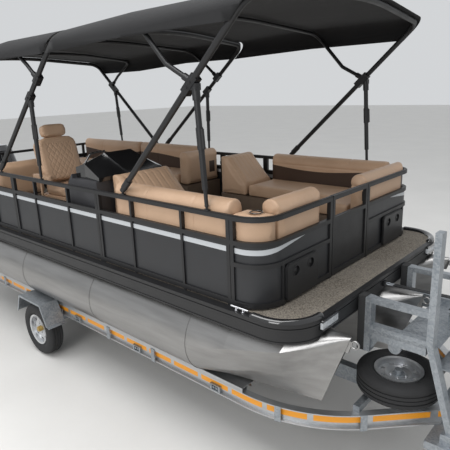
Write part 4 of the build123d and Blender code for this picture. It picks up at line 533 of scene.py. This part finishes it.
# %% Rails
tape_pitch = 0.340
tape_share = 0.88
rail_low, rail_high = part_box("trailer_rails")
rail_height = rail_high.z - rail_low.z
material, tree, shader, place = new_material("rail_aluminium", 0.8)
axes = add(tree, "SeparateXYZ")
feed(tree, axes.inputs[0], place)
facing = add(tree, "SeparateXYZ")
feed(tree, facing.inputs[0], add(tree, "NewGeometry").outputs["Normal"])
upright_face = maths(tree, "LESS_THAN", maths(tree, "ABSOLUTE", facing.outputs["Z"]), 0.5)
step = maths(tree, "FRACT", maths(tree, "DIVIDE", maths(tree, "ADD", axes.outputs["X"], 10.0), tape_pitch))
tape = both(
    tree,
    maths(tree, "LESS_THAN", step, tape_share),
    within(tree, axes.outputs["Z"], rail_low.z + 0.36 * rail_height, rail_low.z + 0.90 * rail_height),
    upright_face,
)
tone = use_group(
    tree, tone_group, Vector=stretched(tree, place, (0.5, 8, 8)), Scale=4.0,
    Light=(0.58, 0.59, 0.60), Dark=(0.44, 0.45, 0.46), Smooth=0.30, Rough=0.48,
)
feed(tree, shader.inputs["Base Color"], mixed(tree, tape, tone["Colour"], (0.82, 0.33, 0.02)))
feed(tree, shader.inputs["Roughness"], tone["Roughness"])
feed(tree, shader.inputs["Metallic"], spread(tree, tape, 0.0, 1.0, 0.8, 0.0))
bump(tree, shader, tone["Height"], 0.15, 0.0006)
finish["trailer_aluminium"] = material

# %% [markdown]
# ## Docking lights
# Each light is a dark cup with a pale lens. The lens is a band round the lights'
# middle height, so one mask on that height serves both sides.

# %% Docking lights
light_low, light_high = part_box("docking_lights")
material, tree, shader, place = new_material("docking_light", 0.0, 1.0)
axes = add(tree, "SeparateXYZ")
feed(tree, axes.inputs[0], place)
tone = use_group(
    tree, tone_group, Vector=place, Scale=40.0, Light=(0.62, 0.64, 0.66),
    Dark=(0.36, 0.38, 0.40), Smooth=0.05, Rough=0.14,
)
light_z = (light_low.z + light_high.z) / 2
lens_half = 0.022
height_off = maths(tree, "ABSOLUTE", maths(tree, "SUBTRACT", axes.outputs["Z"], light_z))
lens = maths(tree, "LESS_THAN", height_off, lens_half)
feed(tree, shader.inputs["Base Color"], mixed(tree, lens, (0.012, 0.012, 0.013), tone["Colour"]))
feed(tree, shader.inputs["Roughness"], tone["Roughness"])
finish["docking_light"] = material

# %% [markdown]
# ## Tan vinyl
# Marine vinyl has a fine pebble grain and a soft gloss, and its tone drifts a little.
# The port side has a dark brown inlay under its roll, whose upper edge waves.


# %% Vinyl
def vinyl(name, inlay_low=None, inlay_high=None):
    """Tan vinyl, with a wavy dark inlay on the inner face of the port roll."""
    material, tree, shader, place = new_material(name)
    grain = use_group(tree, grain_group, Vector=place, Scale=420.0)["Height"]
    tone = use_group(
        tree, tone_group, Vector=place, Scale=3.5, Light=(0.56, 0.375, 0.250),
        Dark=(0.47, 0.310, 0.200), Smooth=0.40, Rough=0.52,
    )
    colour = tone["Colour"]
    if inlay_low is not None:
        axes = add(tree, "SeparateXYZ")
        feed(tree, axes.inputs[0], place)
        wave = maths(tree, "SINE", maths(tree, "MULTIPLY", axes.outputs["X"], 3.4))
        edge = maths(tree, "ADD", maths(tree, "MULTIPLY", wave, 0.028), inlay_high)
        inlay = both(
            tree,
            maths(tree, "LESS_THAN", axes.outputs["Z"], edge),
            maths(tree, "GREATER_THAN", axes.outputs["Z"], inlay_low),
            within(tree, axes.outputs["Y"], 1.000, 1.100),
        )
        colour = mixed(tree, inlay, colour, (0.050, 0.028, 0.018))
    feed(tree, shader.inputs["Base Color"], colour)
    feed(tree, shader.inputs["Roughness"], tone["Roughness"])
    bump(tree, shader, grain, 0.25, 0.0008)
    finish[name] = material


vinyl("tan_vinyl")
vinyl("port_vinyl", 1.840, 2.000)

# %% [markdown]
# ## Canopy cloth
# The canopies are black canvas: matt, woven, and slightly paler where dust lies. A
# slow ripple in the relief shows how the cloth pulls between the bows.

# %% Canvas
material, tree, shader, place = new_material("black_canvas")
shader.inputs["Sheen Weight"].default_value = 0.03
canvas_threads = use_group(tree, weave_group, Vector=place, Threads=1500.0)["Height"]
dust = spread(tree, clouds(tree, place, 1.8), 0.35, 0.75)
feed(tree, shader.inputs["Base Color"], mixed(tree, dust, (0.005, 0.005, 0.006), (0.010, 0.010, 0.011)))
feed(tree, shader.inputs["Roughness"], spread(tree, canvas_threads, 0.0, 1.0, 0.80, 0.94))
ripple = clouds(tree, stretched(tree, place, (1.0, 3.0, 1.0)), 2.2)
bump(tree, shader, maths(tree, "ADD", maths(tree, "MULTIPLY", canvas_threads, 0.03), ripple), 0.5, 0.012)
finish["canopy_cloth"] = material

# %% [markdown]
# ## Dressing the solids
# A carried-over solid keeps its mesh. Only the material in its slot changes.

# %% Finish of each solid
dressed = {
    "aluminium": ["pontoon_starboard", "pontoon_centre", "pontoon_port", "deck_frame"],
    "carpet": ["deck"],
    "black_trim": ["deck_skirt", "access_panels", "motor_bracket", "steering_wheel", "motor_swivel"],
    "gloss_trim": ["corner_bumpers", "windscreen", "propeller"],
    "docking_light": ["docking_lights"],
    "bright_metal": ["cleats", "captain_chair_pedestal", "boarding_ladder"],
    "black_frame": [
        "fence_frame_starboard", "fence_frame_port_forward", "fence_frame_port_aft",
        "bimini_frame", "bow_gate", "side_gate", "stern_gate",
    ],
    "panel": ["fence_panels_starboard", "fence_panels_port_forward", "fence_panels_port_aft"],
    "seat_base": ["bow_seat_bases", "aft_seat_bases"],
    "tan_vinyl": ["captain_chair_frame"],
    "console": ["helm_console"],
    "galvanised": [
        "trailer_cross_members", "trailer_axle", "mudguards", "trailer_drawbar",
        "coupling", "jockey_leg", "jockey_fork",
    ],
    "stand_zinc": ["bow_stand"],
    "winch_zinc": ["winch"],
    "road_rim": ["wheel_starboard_rim", "wheel_port_rim"],
    "spare_rim_silver": ["spare_rim"],
    "trailer_aluminium": ["trailer_rails"],
    "bunk_aluminium": ["trailer_bunks"],
    "tyre": ["spare_tyre", "wheel_starboard_tyre", "wheel_port_tyre"],
    "black_rubber": ["stand_pads", "jockey_wheel"],
    "lamp_red": ["tail_lights"],
    "motor_gloss": ["motor_body"],
}
for finish_name, nodes in dressed.items():
    for node in nodes:
        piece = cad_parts[node]
        if not piece.material_slots:
            piece.data.materials.append(finish[finish_name])
        for holder in piece.material_slots:
            holder.material = finish[finish_name]
print("dressed solids", sum(len(nodes) for nodes in dressed.values()))

# %% [markdown]
# ## Upholstery
# A cushion is foam in a sewn cover: its faces crown, its edges are round, and its
# sides pull in between the corners. Each block of the frame is copied, cut into its
# separate cushions, covered with an even net of small faces, and blown up by the
# cloth solver for a few frames. No point may move further than a few millimetres, so
# the cushion stays in its block's room.


# %% Cushion nets
def new_piece(name, shape, body, material):
    """Object at the origin made from a bmesh, riding on a body."""
    mesh = bpy.data.meshes.new(name)
    shape.to_mesh(mesh)
    shape.free()
    piece = bpy.data.objects.new(name, mesh)
    scene.collection.objects.link(piece)
    mesh.materials.append(material)
    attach(piece, body)
    return piece


def separate_parts(shape):
    """Lists of the vertices of each closed part of a bmesh."""
    left = set(shape.verts)
    parts = []
    while left:
        first = left.pop()
        part, border = {first}, [first]
        while border:
            vertex = border.pop()
            for edge in vertex.link_edges:
                other = edge.other_vert(vertex)
                if other not in part:
                    part.add(other)
                    border.append(other)
        left -= part
        parts.append(part)
    return parts


def applied(piece):
    """The piece's mesh with its modifiers applied."""
    graph = bpy.context.evaluated_depsgraph_get()
    return bpy.data.meshes.new_from_object(piece.evaluated_get(graph))


def even_net(shape, keep, voxel):
    """Closed net of even faces over the kept vertices of a shape."""
    part = shape.copy()
    part.verts.ensure_lookup_table()
    bmesh.ops.delete(
        part, geom=[v for v in part.verts if v.index not in keep], context="VERTS"
    )
    bmesh.ops.recalc_face_normals(part, faces=part.faces)
    mesh = bpy.data.meshes.new("net")
    part.to_mesh(mesh)
    part.free()
    carrier = bpy.data.objects.new("net", mesh)
    scene.collection.objects.link(carrier)
    remesh = carrier.modifiers.new("net", "REMESH")
    remesh.mode = "VOXEL"
    remesh.voxel_size = voxel
    net = applied(carrier)
    bpy.data.objects.remove(carrier)
    bpy.data.meshes.remove(mesh)
    return net


# %% Blowing up
filling_frames = 10


def swell(piece, cap):
    """Fill the covers with the cloth solver; no point moves further than cap."""
    rest = [vertex.co.copy() for vertex in piece.data.vertices]
    cloth = piece.modifiers.new("filling", "CLOTH")
    cloth.settings.use_pressure = True
    cloth.settings.uniform_pressure_force = 4
    cloth.settings.effector_weights.gravity = 0
    cloth.settings.quality = 3
    cloth.point_cache.frame_start = 1
    cloth.point_cache.frame_end = filling_frames
    for number in range(1, filling_frames + 1):
        scene.frame_set(number)
    blown = applied(piece)
    piece.modifiers.remove(cloth)
    scene.frame_set(1)
    for vertex, start, moved in zip(piece.data.vertices, rest, blown.vertices):
        move = moved.co - start
        if move.length > cap:
            move.length = cap
        vertex.co = start + move
    bpy.data.meshes.remove(blown)


# %% [markdown]
# ## Sewn lines
# Where a cover is stitched through, the foam is pulled in along a line. The net is
# subdivided once, and each point near a line is pressed in along its own normal,
# deepest on the line and fading over a few millimetres.


# %% Seams
def press(mesh, lines, depth, width):
    """Press seams into a mesh; a line is a function giving the distance to it."""
    pressed = 0
    for vertex in mesh.vertices:
        pull = 0.0
        for line in lines:
            gap = line(vertex.co, vertex.normal)
            if gap is not None and gap < 3 * width:
                pull = max(pull, depth * exp(-((gap / width) ** 2)))
        if pull > 0.0001:
            vertex.co = vertex.co - vertex.normal * pull
            pressed += 1
    return pressed


def plane_line(axis, value, low, high):
    """Seam in the plane where one axis has a value, inside a box."""

    def distance(place, normal):
        for part in range(3):
            if not low[part] <= place[part] <= high[part]:
                return None
        return abs(place[axis] - value)

    return distance


def upholster(node, name, body, material, voxel, cap, lines, depth=0.006, width=0.008):
    """Padded cushions that stand for a node's blocks."""
    shape = bmesh.new()
    shape.from_mesh(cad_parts[node].data)
    bmesh.ops.remove_doubles(shape, verts=shape.verts, dist=1e-5)
    shape.verts.index_update()
    joined = bmesh.new()
    parts = separate_parts(shape)
    for part in sorted(parts, key=lambda part: min(vertex.index for vertex in part)):
        net = even_net(shape, {vertex.index for vertex in part}, voxel)
        joined.from_mesh(net)
        bpy.data.meshes.remove(net)
    shape.free()
    for _ in range(3):
        bmesh.ops.smooth_vert(
            joined, verts=joined.verts, factor=0.5, use_axis_x=True, use_axis_y=True, use_axis_z=True
        )
    joined.normal_update()
    for vertex in joined.verts:
        vertex.co = vertex.co - vertex.normal * 0.75 * cap
    piece = new_piece(name, joined, body, material)
    swell(piece, cap)
    finer = piece.modifiers.new("finer", "SUBSURF")
    finer.levels = 1
    finer.render_levels = 1
    mesh = applied(piece)
    piece.modifiers.remove(finer)
    rough_mesh = piece.data
    piece.data = mesh
    bpy.data.meshes.remove(rough_mesh)
    pressed = press(piece.data, lines, depth, width)
    for face in piece.data.polygons:
        face.use_smooth = True
    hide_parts(node)
    print(name, len(parts), "cushions", len(piece.data.polygons), "faces", pressed, "pressed")
    return piece


# %% Bow seats
starboard_channels = [
    plane_line(1, y, (0.50, -1.08, 1.90), (0.93, -0.37, 2.20))
    for y in (-0.45, -0.53, -0.61, -0.69, -0.77, -0.85, -0.93, -1.01)
]
starboard_seams = [
    plane_line(2, 2.045, (0.75, -1.20, 1.90), (2.36, -0.36, 2.20)),
    plane_line(0, 1.20, (0.75, -1.20, 1.72), (2.30, -1.03, 2.20)),
    plane_line(0, 1.72, (0.75, -1.20, 1.72), (2.30, -1.03, 2.20)),
]
port_channels = [
    plane_line(1, y, (0.43, 0.51, 1.90), (0.83, 1.08, 2.20))
    for y in (0.58, 0.65, 0.72, 0.79, 0.86, 0.93, 1.00)
]
port_seams = [
    plane_line(2, 2.025, (0.80, 0.27, 1.90), (2.36, 1.20, 2.20)),
    plane_line(0, 1.25, (0.80, 1.03, 1.72), (2.30, 1.20, 2.20)),
    plane_line(0, 1.78, (0.80, 1.03, 1.72), (2.30, 1.20, 2.20)),
]
upholster(
    "bow_seat_starboard_cushions", "bow_seat_starboard_upholstery", "boat_on_trailer",
    finish["tan_vinyl"], 0.016, 0.008, starboard_channels + starboard_seams,
)
upholster(
    "bow_seat_port_cushions", "bow_seat_port_upholstery", "boat_on_trailer",
    finish["port_vinyl"], 0.016, 0.008, port_channels + port_seams,
)

# %% Aft seats
bench_seams = [
    plane_line(0, x, (-3.10, 1.00, 1.72), (-0.18, 1.20, 2.20))
    for x in (-0.75, -1.20, -2.00, -2.55)
]
lounge_seams = [
    plane_line(0, x, (-3.10, -1.20, 1.72), (-1.45, -1.00, 2.20)) for x in (-1.95, -2.50)
]
upholster(
    "port_bench_cushions", "port_bench_upholstery", "boat_on_trailer",
    finish["port_vinyl"], 0.020, 0.009, bench_seams,
)
upholster(
    "aft_lounge_cushions", "aft_lounge_upholstery", "boat_on_trailer",
    finish["tan_vinyl"], 0.020, 0.009, lounge_seams,
)

# %% [markdown]
# ## The captain's chair
# Its back and seat have a quilted field: two families of slanting stitch lines that
# cross in diamonds. The distance to the nearest line of a family is worked out from
# the sum or difference of the place across and the place along the field.

# %% Chair
quilt_pitch = 0.062


def quilt(sign):
    """Slanting stitch lines over the middle of the back and seat."""

    def distance(place, normal):
        across_field = place.y + 0.65
        if abs(across_field) > 0.150 or place.z < 1.86 or place.z > 2.36:
            return None
        if abs(normal.y) > 0.7:
            return None
        along_field = place.z + place.x
        phase = (along_field + sign * across_field) / quilt_pitch
        return abs(phase - round(phase)) * quilt_pitch / 1.414

    return distance


upholster(
    "captain_chair_cushions", "captain_chair_upholstery", "captain_chair",
    finish["tan_vinyl"], 0.010, 0.006, [quilt(1), quilt(-1)], 0.004, 0.006,
)

# %% [markdown]
# ## Canopies
# A canopy is one sheet of canvas stretched over the bows. The sheet is taken from
# the upper faces of the frame's canopy, cut across into even strips so that it can
# bend, and let down a little between the bows. A thin Solidify gives it its cloth
# thickness, growing inwards.


# %% Canopies
def canopy(node, name, cut_area):
    """Stretched sheet that stands for a canopy node; its ends lean, so its cut is no rectangle."""
    shape = bmesh.new()
    shape.from_mesh(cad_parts[node].data)
    bmesh.ops.remove_doubles(shape, verts=shape.verts, dist=1e-5)
    low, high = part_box(node)
    heart = Vector(((low.x + high.x) / 2, 0, low.z - 1.0))
    hidden = []
    for face in shape.faces:
        outward = (face.calc_center_median() - heart).normalized()
        if face.normal.dot(outward) < 0.25 or abs(face.normal.x) > 0.85:
            hidden.append(face)
    bmesh.ops.delete(shape, geom=hidden, context="FACES")
    strips = int((high.x - low.x) / 0.08)
    for number in range(1, strips):
        cut = low.x + number * (high.x - low.x) / strips
        bmesh.ops.bisect_plane(
            shape,
            geom=list(shape.verts) + list(shape.edges) + list(shape.faces),
            plane_co=(cut, 0, 0),
            plane_no=(1, 0, 0),
        )
    for vertex in shape.verts:
        share = (vertex.co.x - low.x) / (high.x - low.x)
        inner = max(0.0, 1 - abs(vertex.co.y) / 1.15)
        vertex.co.z -= 0.005 * sin(pi * share) ** 2 * min(1.0, 2 * inner)
    area = sum(face.calc_area() for face in shape.faces)
    print(name, "cloth area", round(area, 3), "of", cut_area)
    piece = new_piece(name, shape, "boat_on_trailer", finish["canopy_cloth"])
    for face in piece.data.polygons:
        face.use_smooth = True
    cloth = piece.modifiers.new("cloth", "SOLIDIFY")
    cloth.thickness = 0.002
    cloth.offset = -1
    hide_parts(node)
    return piece


canopy("canopy_front", "canopy_front_cloth", 5.83)
canopy("canopy_rear", "canopy_rear_cloth", 8.78)

# %% [markdown]
# ## Cup holder
# A dark ring lines the cup hole in the corner of the starboard seat. A small circle
# spun once round the hole's axis makes it.

# %% Cup ring
cup_place = Vector((2.225, -1.085, 2.082))
ring = bmesh.new()
section = bmesh.ops.create_circle(
    ring,
    cap_ends=False,
    radius=0.004,
    segments=12,
    matrix=Matrix.Translation(cup_place + Vector((0.045, 0, 0))) @ Matrix.Rotation(pi / 2, 4, "X"),
)
bmesh.ops.spin(
    ring,
    geom=list(ring.verts) + list(ring.edges),
    cent=cup_place,
    axis=(0, 0, 1),
    angle=2 * pi,
    steps=48,
    use_merge=True,
)
bmesh.ops.remove_doubles(ring, verts=ring.verts, dist=1e-5)
bmesh.ops.recalc_face_normals(ring, faces=ring.faces)
cup_ring = new_piece("cup_ring", ring, "boat_on_trailer", finish["gloss_trim"])
for face in cup_ring.data.polygons:
    face.use_smooth = True
